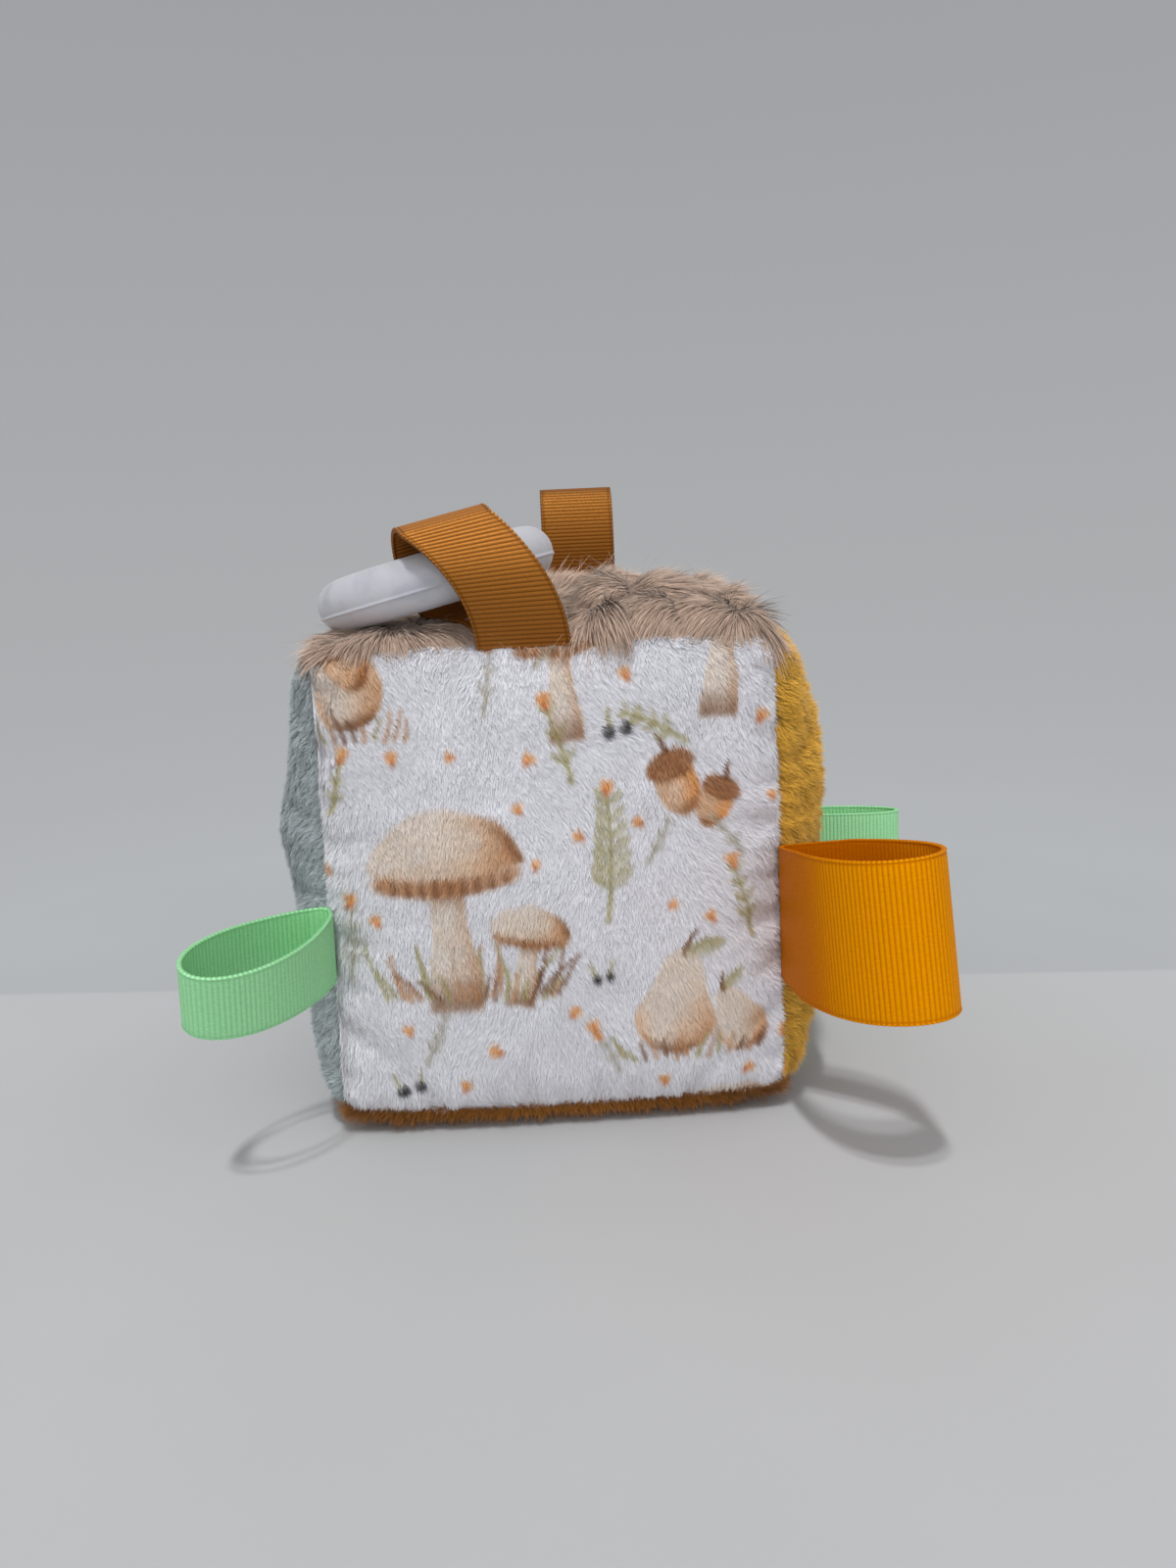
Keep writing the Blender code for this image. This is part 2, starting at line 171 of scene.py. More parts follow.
def addNode(tree, kind, inputs=None, take=None, **settings):
    # one node with its settings and links; an input is a value or another node's output. The
    # result is the node itself, or the output that take names
    node = tree.nodes.new(kind)
    for name, value in settings.items():
        setattr(node, name, value)
    for name, value in (inputs or {}).items():
        if isinstance(value, bpy.types.NodeSocket):
            tree.links.new(value, node.inputs[name])
        else:
            node.inputs[name].default_value = value
    return node if take is None else node.outputs[take]


def newGeometryTree(name, inputs):
    tree = bpy.data.node_groups.new(name, "GeometryNodeTree")
    for label, kind in (("Geometry", "Geometry"), *inputs):
        tree.interface.new_socket(label, in_out="INPUT", socket_type="NodeSocket" + kind)
    tree.interface.new_socket("Geometry", in_out="OUTPUT", socket_type="NodeSocketGeometry")
    return tree, addNode(tree, "NodeGroupInput").outputs


def endTree(tree, geometry, material):
    real = addNode(tree, "GeometryNodeRealizeInstances", {"Geometry": geometry}, 0)
    dressed = addNode(tree, "GeometryNodeSetMaterial", {"Geometry": real, "Material": material}, 0)
    addNode(tree, "NodeGroupOutput", {"Geometry": dressed})
    return tree


def bakedByNodes(base, tree, values, name):
    # sets the tree's inputs, evaluates it once and keeps the result as a plain mesh
    modifier = base.modifiers.new(tree.name, "NODES")
    modifier.node_group = tree
    for item in tree.interface.items_tree:
        if item.in_out == "INPUT" and item.name in values:
            modifier[item.identifier] = values[item.name]
    seen = base.evaluated_get(bpy.context.evaluated_depsgraph_get())
    mesh = bpy.data.meshes.new_from_object(seen)
    mesh.name = name
    base.modifiers.remove(modifier)
    return placed(bpy.data.objects.new(name, mesh))


def newMaterial(name, constants):
    # a material by nodes, with its constants on the shader's own sockets
    made = bpy.data.materials.new(name)
    made.use_nodes = True
    shader = made.node_tree.nodes["Principled BSDF"]
    for socket, value in constants.items():
        shader.inputs[socket].default_value = value
    return made, made.node_tree, shader


# Materials. A noise's scale is one over the size of what it draws

def plushMaterial(name, tip, rootShade, vary, colourText=None):
    # Polyester minky plush, knitted and brushed: matt, with a faint bloom where the pile is seen
    # edge on. Its colour is painted lighter at the tips of the pile and darker towards its roots, a
    # painted shade of the hairs over one another; the bare skin under the pile, which has no place
    # along a hair, takes the darkest root tone as painted shade in the gaps. A fibre is lit from
    # both sides, so it takes the normal kept on it and lets a little light through
    made, tree, shader = newMaterial(name, {
        "Transmission Weight": 0.02, "Roughness": 0.85, "Sheen Weight": 0.2, "Sheen Roughness": 0.5,
        "Specular IOR Level": 0.25})
    if colourText:
        # the colour is mottled, lighter and darker over patches about 11 mm across
        mottlePatch = 11.1 * millimetre
        place = addNode(tree, "ShaderNodeTexCoord", take="Object")
        cloud = addNode(tree, "ShaderNodeTexNoise", {"Vector": place, "Scale": 1 / mottlePatch, "Detail": 3.0},
                        "Fac")
        base = addNode(tree, "ShaderNodeMix", {0: cloud, 6: linearColour(colourText, 0.86),
                                               7: linearColour(colourText)}, 2, data_type="RGBA")
    else:
        base = addNode(tree, "ShaderNodeAttribute", take="Color", attribute_name="printColour")
    along = addNode(tree, "ShaderNodeAttribute", take="Fac", attribute_name="alongBlade")
    shade = addNode(tree, "ShaderNodeAttribute", take="Fac", attribute_name="bladeShade")
    # painted shade: darker at a hair's root, lighter at its tip, darkest on the bare skin
    lift = addNode(tree, "ShaderNodeMapRange", {"Value": along, "To Min": rootShade, "To Max": tip}, "Result")
    differ = addNode(tree, "ShaderNodeMapRange", {"Value": shade, "To Min": 1 - vary, "To Max": 1 + vary},
                     "Result")
    both = addNode(tree, "ShaderNodeMath", {0: lift, 1: differ}, 0, operation="MULTIPLY")
    colour = addNode(tree, "ShaderNodeVectorMath", {0: base, "Scale": both}, 0, operation="SCALE")
    kept = addNode(tree, "ShaderNodeAttribute", take="Vector", attribute_name="pileNormal")
    normal = addNode(tree, "ShaderNodeVectorTransform", {"Vector": kept}, 0, vector_type="NORMAL",
                     convert_from="OBJECT", convert_to="WORLD")
    tree.links.new(colour, shader.inputs["Base Color"])
    tree.links.new(normal, shader.inputs["Normal"])
    return made


def grosgrainMaterial(name, plainText, ribHighlightText, glintText, glint, metal=0.2):
    # Woven polyester grosgrain: satin threads packed over thick cords. Lying flat it shows a plain,
    # deeper colour; round a bend its ribs open, and their tops are painted in a lighter colour, a
    # painted highlight, with the plain colour left in the valleys as painted shade. The threads' noise
    # lightens the colour in short dashes where they are glossier, a painted glint beside the real
    # gloss. The yarn shines in its own colour, which a small metallic share gives. Threads are about
    # 0.35 mm apart, drawn at 0.5 mm so that they show
    made, tree, shader = newMaterial(name, {"Metallic": metal, "Specular IOR Level": glint,
                                            "Specular Tint": linearColour(glintText)})
    threadPitch, dashLength = 0.5 * millimetre, 1.25 * millimetre
    place = addNode(tree, "ShaderNodeAttribute", take="Vector", attribute_name="weavePlace")
    thread = addNode(tree, "ShaderNodeMapping",
                     {"Vector": place, "Scale": (1 / threadPitch, 1 / dashLength, 1.0)}, 0)
    grain = addNode(tree, "ShaderNodeTexNoise", {"Vector": thread, "Scale": 1.0, "Detail": 2.0}, "Fac")
    rib = addNode(tree, "ShaderNodeAttribute", take="Fac", attribute_name="ribHeight")
    # painted highlight on the rib tops and painted shade in the valleys, from the plain colour to the
    # lighter one
    paintedRibLight = addNode(tree, "ShaderNodeMix", {0: rib, 6: linearColour(plainText), 7: linearColour(ribHighlightText)},
                    2, data_type="RGBA")
    # painted glint: the thread noise lightens the colour where the threads are glossier
    paintedThreadGlint = addNode(tree, "ShaderNodeMapRange", {"Value": grain, "To Min": 0.76}, "Result")
    colour = addNode(tree, "ShaderNodeVectorMath", {0: paintedRibLight, "Scale": paintedThreadGlint}, 0, operation="SCALE")
    gloss = addNode(tree, "ShaderNodeMapRange", {"Value": grain, "To Min": 0.58, "To Max": 0.28}, "Result")
    bump = addNode(tree, "ShaderNodeBump",
                   {"Height": grain, "Strength": 0.6, "Distance": 0.1 * millimetre}, 0)
    tree.links.new(colour, shader.inputs["Base Color"])
    tree.links.new(gloss, shader.inputs["Roughness"])
    tree.links.new(bump, shader.inputs["Normal"])
    return made


def siliconeMaterial():
    # Moulded food-grade silicone: satin, slightly translucent white with faint grey marbling
    made, tree, shader = newMaterial("mouldedSilicone", {
        "Subsurface Weight": 0.25, "Subsurface Scale": 2 * millimetre})
    marbling, dustSpeck = 16.7 * millimetre, 1.11 * millimetre
    place = addNode(tree, "ShaderNodeTexCoord", take="Object")
    swirl = addNode(tree, "ShaderNodeTexNoise", {"Vector": place, "Scale": 1 / marbling, "Detail": 4.0,
                                                 "Distortion": 1.6}, "Fac")
    vein = addNode(tree, "ShaderNodeMapRange", {"Value": swirl, "From Min": 0.52, "From Max": 0.68,
                                                "To Max": 0.55}, "Result")
    marbled = addNode(tree, "ShaderNodeMix", {0: vein, 6: linearColour("#c0c1c8"),
                                              7: linearColour("#9da1ac")}, 2, data_type="RGBA")
    dust = addNode(tree, "ShaderNodeTexNoise", {"Vector": place, "Scale": 1 / dustSpeck, "Detail": 2.0},
                   "Fac")
    matt = addNode(tree, "ShaderNodeMapRange", {"Value": dust, "To Min": 0.32, "To Max": 0.5}, "Result")
    tree.links.new(marbled, shader.inputs["Base Color"])
    tree.links.new(matt, shader.inputs["Roughness"])
    return made


def fibreMaterial():
    # Hollow polyester fibre: matt white wadding with a faintly clouded surface
    made, tree, shader = newMaterial("polyesterWadding", {"Roughness": 0.95})
    fibreTuft = 2.86 * millimetre
    place = addNode(tree, "ShaderNodeTexCoord", take="Object")
    fluff = addNode(tree, "ShaderNodeTexNoise", {"Vector": place, "Scale": 1 / fibreTuft, "Detail": 6.0},
                    "Fac")
    clouded = addNode(tree, "ShaderNodeMix", {0: fluff, 6: linearColour("#cfd0d2"),
                                              7: linearColour("#f2f2f2")}, 2, data_type="RGBA")
    bump = addNode(tree, "ShaderNodeBump",
                   {"Height": fluff, "Strength": 0.6, "Distance": 0.8 * millimetre}, 0)
    tree.links.new(clouded, shader.inputs["Base Color"])
    tree.links.new(bump, shader.inputs["Normal"])
    return made


materials = {
    # tip and root scale each plush's colour along its hairs: the lighter tips and darker roots are painted
    # light and shade
    "white": plushMaterial("printedWhitePlush", tip=1.06, rootShade=0.94, vary=0.13),
    "greyGreen": plushMaterial("greyGreenPlush", 1.18, 0.60, 0.28, "#b9c4c7"),
    "mustard": plushMaterial("mustardPlush", 1.24, 0.56, 0.32, "#f2b946"),
    "fur": plushMaterial("taupeLongPile", 1.16, 0.56, 0.21, "#dcbfab"),
    "brown": plushMaterial("caramelPlush", 1.12, 0.62, 0.25, "#bb7c3c"),
    # a ribbon's plain colour, the lighter colour painted on its rib tops as a highlight, the tint of its
    # gloss and how strong that gloss is
    "brownRibbon": grosgrainMaterial("brownGrosgrain", "#5e330f", "#c37d39", "#ffb648", 0.8),
    "mintRibbon": grosgrainMaterial("mintGrosgrain", "#9ce3a5", "#b7ffbf", "#e6ffe9", 0.35),
    "orangeRibbon": grosgrainMaterial("orangeGrosgrain", "#da7a00", "#ffa800", "#ffa400", 0.06, 0.3),
    "silicone": siliconeMaterial(),
    "wadding": fibreMaterial(),
}
print("materials made")


# The block's skin. A panel's u and v run from -1 to 1 across it

right, rear, up = np.eye(3)
block = {
    "halfSize": np.array([0.0500, 0.0500, 0.0513]),   # seam to seam, halved
    "centre": np.array([0.0, 0.0, 0.0553]),
    "pileRoom": 0.0004,        # how far the cloth lies inside the block's outer size
    "cornerDraw": np.array([-0.0004, 0.0016, 0.0014]),     # towards the middle, along each axis
    "cornerPower": 3.5,        # the lower, the rounder the corners
    "rimLift": 0.0024,         # how far the top's seams are held up by the stuffed sides
    "simSteps": 40,            # cells across a panel in the cloth simulation
    "mostPucker": 0.0015,      # furthest that a point may move in the simulation
    "seamDepth": 0.0009,
    "seamWidth": 0.0014,
    "seamUneven": 0.3,         # share by which the stitches' pull differs along a seam
    "seamPull": 0.006,         # and over what length
    "thick": 0.003,            # of a panel with its turned-in edge, as the solids have it
    "backShare": 0.95,         # size of a panel's inner face beside its outer one
}
solver = {
    # the cloth at ten times its size, which the solver handles better than millimetres
    "enlarge": 10, "frames": 24, "rimHold": (1.0, 0.35),
    "settings": {"quality": 6, "mass": 0.4, "tension_stiffness": 20, "compression_stiffness": 20,
                 "shear_stiffness": 6, "bending_stiffness": 4.0, "vertex_group_mass": "held",
                 "shrink_min": -0.035, "use_pressure": True, "uniform_pressure_force": 2.5},
}
panels = {
    # crown is how far a panel swells, power how square the swell is across and along it, roll
    # how far it stands up right beside its seams and over what width
    "front_panel": {"facing": -rear, "across": right, "along": up, "crown": 0.0058,
                    "power": (2.2, 2.2), "roll": 0.0010, "rollWidth": 0.0036, "detail": 5},
    "rear_panel": {"facing": rear, "across": -right, "along": up, "crown": 0.0066,
                   "power": (2.2, 2.2), "roll": 0.0010, "rollWidth": 0.0036, "detail": 4},
    "left_panel": {"facing": -right, "across": -rear, "along": up, "crown": 0.0066,
                   "power": (3.2, 2.8), "roll": 0.0024, "rollWidth": 0.0036, "detail": 4},
    "right_panel": {"facing": right, "across": rear, "along": up, "crown": 0.0090,
                    "power": (3.4, 3.0), "roll": 0.0026, "rollWidth": 0.0036, "detail": 4},
    "top_panel": {"facing": up, "across": right, "along": rear, "crown": 0.0062,
                  "power": (2.6, 2.4), "roll": 0.0, "rollWidth": 0.0036, "detail": 4},
    "bottom_panel": {"facing": -up, "across": right, "along": -rear, "crown": 0.0020,
                     "power": (4.0, 4.0), "roll": 0.0016, "rollWidth": 0.0020, "detail": 4},
}


def wrappedPoint(way):
    # way is a point of the cube from -1 to 1; the result is on the puffed, unwrinkled skin
    half = block["halfSize"] - block["pileRoom"]
    point = way * (half - block["cornerDraw"] * np.abs(np.prod(way)) ** block["cornerPower"])
    point = point + up * block["rimLift"] * smoothStep(way[2], 0.5, 1.0)
    for panel in panels.values():
        if np.dot(way, panel["facing"]) > 0.9999:
            rise = panel["crown"]
            puff = panel["roll"]
            for axis, power in zip((panel["across"], panel["along"]), panel["power"]):
                place = abs(np.dot(way, axis))
                rise *= 1 - place ** power
                puff *= 1 - math.exp(-((1 - place) * half @ np.abs(axis) / panel["rollWidth"]) ** 2)
            point = point + panel["facing"] * (rise + puff)
    return point


def panelWays(panel, steps):
    ticks = np.linspace(-1, 1, steps + 1)
    u, v = np.meshgrid(ticks, ticks, indexing="ij")
    return panel["facing"] + u[..., None] * panel["across"] + v[..., None] * panel["along"]


def weldedSkin(steps, pointsOf):
    # one closed skin of six grids that share the points along their edges
    places, faces, grids, found = [], [], {}, {}
    for name, panel in panels.items():
        ways = panelWays(panel, steps)
        points = pointsOf(panel, ways)
        keys = np.round((ways + 1) * steps / 2).astype(int)
        grid = np.zeros(ways.shape[:2], int)
        for i, j in np.ndindex(grid.shape):
            key = tuple(keys[i, j])
            if key not in found:
                found[key] = len(places)
                places.append(points[i, j])
            grid[i, j] = found[key]
        grids[name] = grid
        faces.append(gridFaces(grid))
    return np.array(places), np.concatenate(faces), grids


def puffedBlock():
    # the whole block's skin, swollen by a cloth simulation between its seams
    rest, faces, grids = weldedSkin(block["simSteps"], lambda panel, ways: np.apply_along_axis(
        wrappedPoint, -1, ways))
    shift = simulated(rest, faces, grids) - rest
    length = np.linalg.norm(shift, axis=1, keepdims=True)
    limit = block["mostPucker"]
    shift *= limit * np.tanh(length / limit) / np.maximum(length, 1e-9)
    return {name: (rest + shift)[grid] for name, grid in grids.items()}


def simulated(rest, faces, grids):
    # the skin after the simulation; its seams are held, and the next row of points partly
    enlarge, frames = solver["enlarge"], solver["frames"]
    cloth = meshObject("skinCloth", rest * enlarge, faces)
    held = cloth.vertex_groups.new(name="held")
    for grid in grids.values():
        for ring, weight in enumerate(solver["rimHold"]):
            inner = grid[ring:len(grid) - ring, ring:len(grid) - ring]
            edge = np.concatenate([inner[0], inner[-1], inner[:, 0], inner[:, -1]])
            held.add([int(v) for v in edge], weight, "REPLACE")
    modifier = cloth.modifiers.new("cloth", "CLOTH")
    for setting, value in solver["settings"].items():
        setattr(modifier.settings, setting, value)
    modifier.settings.effector_weights.gravity = 0
    modifier.collision_settings.use_collision = False
    modifier.point_cache.frame_start, modifier.point_cache.frame_end = 1, frames
    for frameNumber in range(1, frames + 1):
        bpy.context.scene.frame_set(frameNumber)
    worn = cloth.evaluated_get(bpy.context.evaluated_depsgraph_get()).to_mesh()
    moved = vectorsFrom(worn.vertices, "co").astype(float) / enlarge
    bpy.context.scene.frame_set(1)
    bpy.data.objects.remove(cloth)
    print("cloth simulated, largest move in mm:", round(float(np.abs(moved - rest).max() / millimetre), 2))
    return moved


def refined(grid, detail):
    # Catmull-Rom upsampling of a grid of points, first along its rows and then its columns
    for axis in (0, 1):
        grid = np.moveaxis(grid, axis, 0)
        padded = np.concatenate([2 * grid[:1] - grid[1:2], grid, 2 * grid[-1:] - grid[-2:-1]])
        count = len(grid) - 1
        fine = np.zeros((count * detail + 1, *grid.shape[1:]))
        for k in range(detail):
            t = k / detail
            weights = (-t + 2 * t * t - t ** 3, 2 - 5 * t * t + 3 * t ** 3,
                       t + 4 * t * t - 3 * t ** 3, -t * t + t ** 3)
            fine[k:-1:detail] = sum(w / 2 * padded[m:m + count] for m, w in enumerate(weights))
        fine[-1] = grid[-1]
        grid = np.moveaxis(fine, 0, axis)
    return grid


def drawSeams(points, ways):
    # pulls the skin inwards along every seam, a little unevenly, as a stitched seam does
    close = np.exp(-(((1 - np.abs(ways)) * block["halfSize"]) / block["seamWidth"]) ** 2)
    pull = np.zeros_like(points)
    for a, b in ((0, 1), (0, 2), (1, 2)):
        inward = np.zeros_like(points)
        inward[..., a] = -np.sign(ways[..., a])
        inward[..., b] = -np.sign(ways[..., b])
        pull += (close[..., a] * close[..., b])[..., None] * inward / math.sqrt(2)
    uneven = 1 + block["seamUneven"] * softNoise(points, block["seamPull"], 5)
    return points + pull * block["seamDepth"] * uneven[..., None]


def gridNormals(points):
    return unit(np.cross(np.gradient(points, axis=0), np.gradient(points, axis=1)))


def closedPanel(name, points, normals, material):
    # the outer skin, and below it a coarser inner face joined to it round the rim
    step = panels[name]["detail"] * 2
    inner = (points - normals * block["thick"])[::step, ::step]
    centre = points.reshape(-1, 3).mean(0)
    inner = centre + (inner - centre) * block["backShare"]
    fine = numbered(*points.shape[:2])
    coarse = numbered(*inner.shape[:2]) + fine.size
    faces = [tuple(f) for f in gridFaces(fine)] + [tuple(f[::-1]) for f in gridFaces(coarse)]

    def rim(index):
        return np.concatenate([index[:-1, 0], index[-1, :-1], index[:0:-1, -1], index[0, :0:-1]])

    fineRim, coarseRim = rim(fine), rim(coarse)
    for k, here in enumerate(coarseRim):
        part = [fineRim[(k * step + m) % len(fineRim)] for m in range(step + 1)]
        faces += [(after, before, here) for before, after in zip(part, part[1:])]
        faces.append((part[-1], here, coarseRim[(k + 1) % len(coarseRim)]))
    return meshObject(name + "Skin", np.concatenate([points.reshape(-1, 3), inner.reshape(-1, 3)]),
                      faces, material)


# The print on the front and rear panels: mushrooms, pears, acorns and sprigs in soft watercolour.
# Motifs are drawn by formulas in p and q, across and up, in shares of their own size

printDesign = {
    "repeat": (124.0, 112.0),    # mm between one motif and its next copy, across and along
    "rearShift": (37.0, 21.0),   # mm by which the rear panel is cut from another part of the cloth
    "grain": 2.4,                # mm across the clouds of pigment
    "cloth": "#f4f4fb",
    "cream": "#f3e2d2", "peach": "#e9bd97", "tan": "#c98f62", "brown": "#74472b",
    "orange": "#f59f52", "rust": "#d2622a", "olive": "#a89c5f", "grey": "#b9b3a2", "dark": "#2f2c30",
}


def localPlace(canvas, x, y, turn=0.0, size=1.0):
    # the canvas seen from a motif's own middle, repeated as the print repeats
    width, height = printDesign["repeat"]
    dx = (canvas["x"] - x + width / 2) % width - width / 2
    dy = (canvas["y"] - y + height / 2) % height - height / 2
    c, s = math.cos(math.radians(turn)), math.sin(math.radians(turn))
    return (dx * c + dy * s) / size, (dy * c - dx * s) / size


def wash(canvas, mask, ink, strength=1.0):
    # one layer of watercolour, with the grain of pigment in it
    amount = np.clip(mask * strength * (0.86 + 0.22 * canvas["grain"]), 0, 1)
    canvas["colour"] += amount[..., None] * (hexColour(printDesign[ink]) - canvas["colour"])


def washes(canvas, *layers):
    for mask, ink, strength in layers:
        wash(canvas, mask, ink, strength)


def inside(radius, soft=0.08):
    return 1 - smoothStep(radius, 1 - soft, 1 + soft)


def above(x, y, turn, reach):
    # the place that lies a reach above a turned motif's middle
    return x - math.sin(math.radians(turn)) * reach, y + math.cos(math.radians(turn)) * reach


def paintStroke(canvas, x, y, turn, length, width, bend, ink, strength=0.8):
    p, q = localPlace(canvas, x, y, turn)
    along = np.clip(p / length, 0, 1)
    thick = width * (1 - 0.75 * along)
    beyond = np.maximum(np.maximum(-p, p - length), 0)
    off = np.hypot(q - bend * length * along ** 2, beyond)
    wash(canvas, 1 - smoothStep(off, thick * 0.5, thick * 0.5 + 0.45), ink, strength)


def paintLeaf(canvas, x, y, turn, length, width, ink, strength=0.75):
    p, q = localPlace(canvas, x, y, turn)
    along = p / length
    room = width / 2 * np.sin(np.pi * np.clip(along, 0, 1)) ** 0.8 + 1e-3
    mask = (1 - smoothStep(np.abs(q), room - 0.15, room + 0.3)) * (along > -0.02) * (along < 1.02)
    wash(canvas, mask, ink, strength * (0.6 + 0.4 * smoothStep(q, -width / 2, width / 2)))


def paintGrass(canvas, x, y, spread, count, height, seed):
    rng = np.random.default_rng(seed)
    for k in range(count):
        place = x + spread * (2 * (k + 0.5) / count - 1)
        lean = 90 - 34 * (place - x) / spread + rng.uniform(-14, 14)
        paintStroke(canvas, place, y + rng.uniform(-0.8, 0.4), lean, height * rng.uniform(0.5, 1.1), 0.7,
                    rng.uniform(-0.25, 0.25), rng.choice(["olive", "tan", "brown"]), 0.7)


def paintMushroom(canvas, x, y, size, turn, seed, spots=True):
    p, q = localPlace(canvas, x, y, turn, size)
    wobble = 0.05 * softNoise(np.stack([p, q], -1), 0.4, seed)
    stemHalf = 0.23 + 0.13 * smoothStep(-q, 0.5, 1.7)
    stem = inside(np.abs(p - 0.05 * q) / stemHalf + wobble, 0.12) * inside(np.abs(q + 0.85) / 0.95, 0.08)
    gills = inside(np.hypot(p / 0.93, (q + 0.02) / 0.24) + wobble, 0.12)
    dome = np.hypot(p, (q - 0.02) / 0.86) + wobble
    cap = inside(dome, 0.05) * smoothStep(q + 0.13 * np.cos(p * 1.5), 0.06, 0.16)
    washes(canvas, (stem, "cream", 0.95),
           (stem * smoothStep(p, -0.05, 0.38), "tan", 0.75),
           (stem * smoothStep(-q, 1.15, 1.9), "brown", 0.7),
           (stem * smoothStep(q, -0.5, -0.1), "brown", 0.6),
           (gills, "tan", 0.9),
           (gills * (0.5 + 0.5 * np.sin(p * 34)) * smoothStep(-q, -0.1, 0.2), "brown", 0.7),
           (cap, "cream", 1.0),
           (cap * smoothStep(0.45 * p - 0.5 * q + 0.35 * dome, -0.15, 0.45), "peach", 0.8),
           (cap * smoothStep(0.4 * p - 0.7 * q + 0.8 * dome, 0.35, 0.95), "tan", 0.8),
           (cap * smoothStep(dome, 0.78, 1.02) * smoothStep(p - q, -0.5, 0.6), "brown", 0.75))
    if spots:
        for a, b, r in ((-0.42, 0.48, 0.12), (0.05, 0.62, 0.1), (0.42, 0.42, 0.11), (-0.12, 0.33, 0.08)):
            wash(canvas, inside(np.hypot(p - a, (q - b) * 1.3) / r, 0.3), "cream", 0.85)


def paintPear(canvas, x, y, size, turn, seed):
    p, q = localPlace(canvas, x, y, turn, size)
    half = 0.43 + 0.31 * smoothStep(-q, -0.55, 0.45)
    ends = np.abs(q) / np.where(q > 0, 0.98, 1.05)
    uneven = 0.04 * softNoise(np.stack([p, q], -1), 0.35, seed)
    body = inside(np.hypot(p / half, np.maximum(ends - 0.30, 0) / 0.70) + uneven, 0.05)
    washes(canvas, (body, "cream", 1.0),
           (body * smoothStep(p * 0.8 - q * 0.4, 0.0, 0.6), "peach", 0.85),
           (body * smoothStep(p * 0.7 - q * 0.6, 0.5, 1.0), "tan", 0.85),
           (body * smoothStep(-q, 0.72, 1.02), "brown", 0.85),
           (body * smoothStep(-p * 0.6 - q * 0.2, 0.28, 0.6), "orange", 0.45))
    stalk = above(x, y, turn, size * 0.9)
    paintStroke(canvas, *stalk, 78 + turn, size * 0.45, 0.9, -0.2, "brown", 0.9)
    paintLeaf(canvas, *stalk, 20 + turn, size * 0.8, size * 0.3, "olive", 0.8)


def paintAcorn(canvas, x, y, size, turn):
    p, q = localPlace(canvas, x, y, turn, size)
    nut = inside(np.hypot(p / 0.55, (q + 0.25) / 0.85), 0.07)
    cup = inside(np.hypot(p / 0.66, (q - 0.28) / 0.42), 0.08)
    scales = 0.5 + 0.5 * np.sin(p * 22 + q * 16) * np.sin(p * 22 - q * 16)
    washes(canvas, (nut, "peach", 1.0),
           (nut * smoothStep(p - 0.3 * q, 0.0, 0.6), "orange", 0.7),
           (nut * smoothStep(-q + p * 0.3, 0.6, 1.1), "brown", 0.7),
           (cup, "tan", 1.0), (cup * scales, "brown", 0.85))
    paintStroke(canvas, *above(x, y, turn, size * 0.66), 95 + turn, size * 0.5, 0.9, 0.2, "brown", 0.9)


def paintSprig(canvas, x, y, turn, length, pairs, ink, bud=None):
    # a bent stem with leaves on both sides and a blossom at its tip
    bend = 0.12
    paintStroke(canvas, x, y, turn, length, 0.8, bend, ink, 0.75)
    way = np.array([math.cos(math.radians(turn)), math.sin(math.radians(turn))])
    side = np.array([-way[1], way[0]])
    for k in range(pairs):
        share = 0.25 + 0.65 * k / max(pairs - 1, 1)
        px, py = np.array([x, y]) + way * length * share + side * bend * length * share ** 2
        long = length * 0.26 * (1.15 - 0.5 * share)
        paintLeaf(canvas, px, py, turn + 42, long, long * 0.42, ink, 0.7)
        paintLeaf(canvas, px, py, turn - 38, long, long * 0.42, ink, 0.55)
    if bud:
        tip = np.array([x, y]) + way * length + side * bend * length
        paintBlossom(canvas, *tip, 2.1, turn - 90, bud)


def paintBlossom(canvas, x, y, size, turn, ink="orange"):
    for spread in (-26, 0, 26):
        paintLeaf(canvas, x, y, turn + 90 + spread, size * 1.5, size * 0.85, ink, 0.7)
    p, q = localPlace(canvas, x, y, turn)
    wash(canvas, inside(np.hypot(p, q) / (size * 0.4), 0.4), "rust", 0.55)


def paintBerries(canvas, x, y, size, turn):
    for dx, dy in ((-0.9, 0.0), (1.0, 0.35)):
        bx, by = x + dx * size, y + dy * size
        paintStroke(canvas, bx, by, 90 + turn - dx * 22, size * 2.4, 0.6, 0.1 * dx, "olive", 0.8)
        p, q = localPlace(canvas, bx, by)
        washes(canvas, (inside(np.hypot(p, q) / (size * 0.72), 0.2), "dark", 0.92),
               (inside(np.hypot(p + size * 0.25, q - size * 0.25) / (size * 0.17), 0.5), "cloth", 0.8))


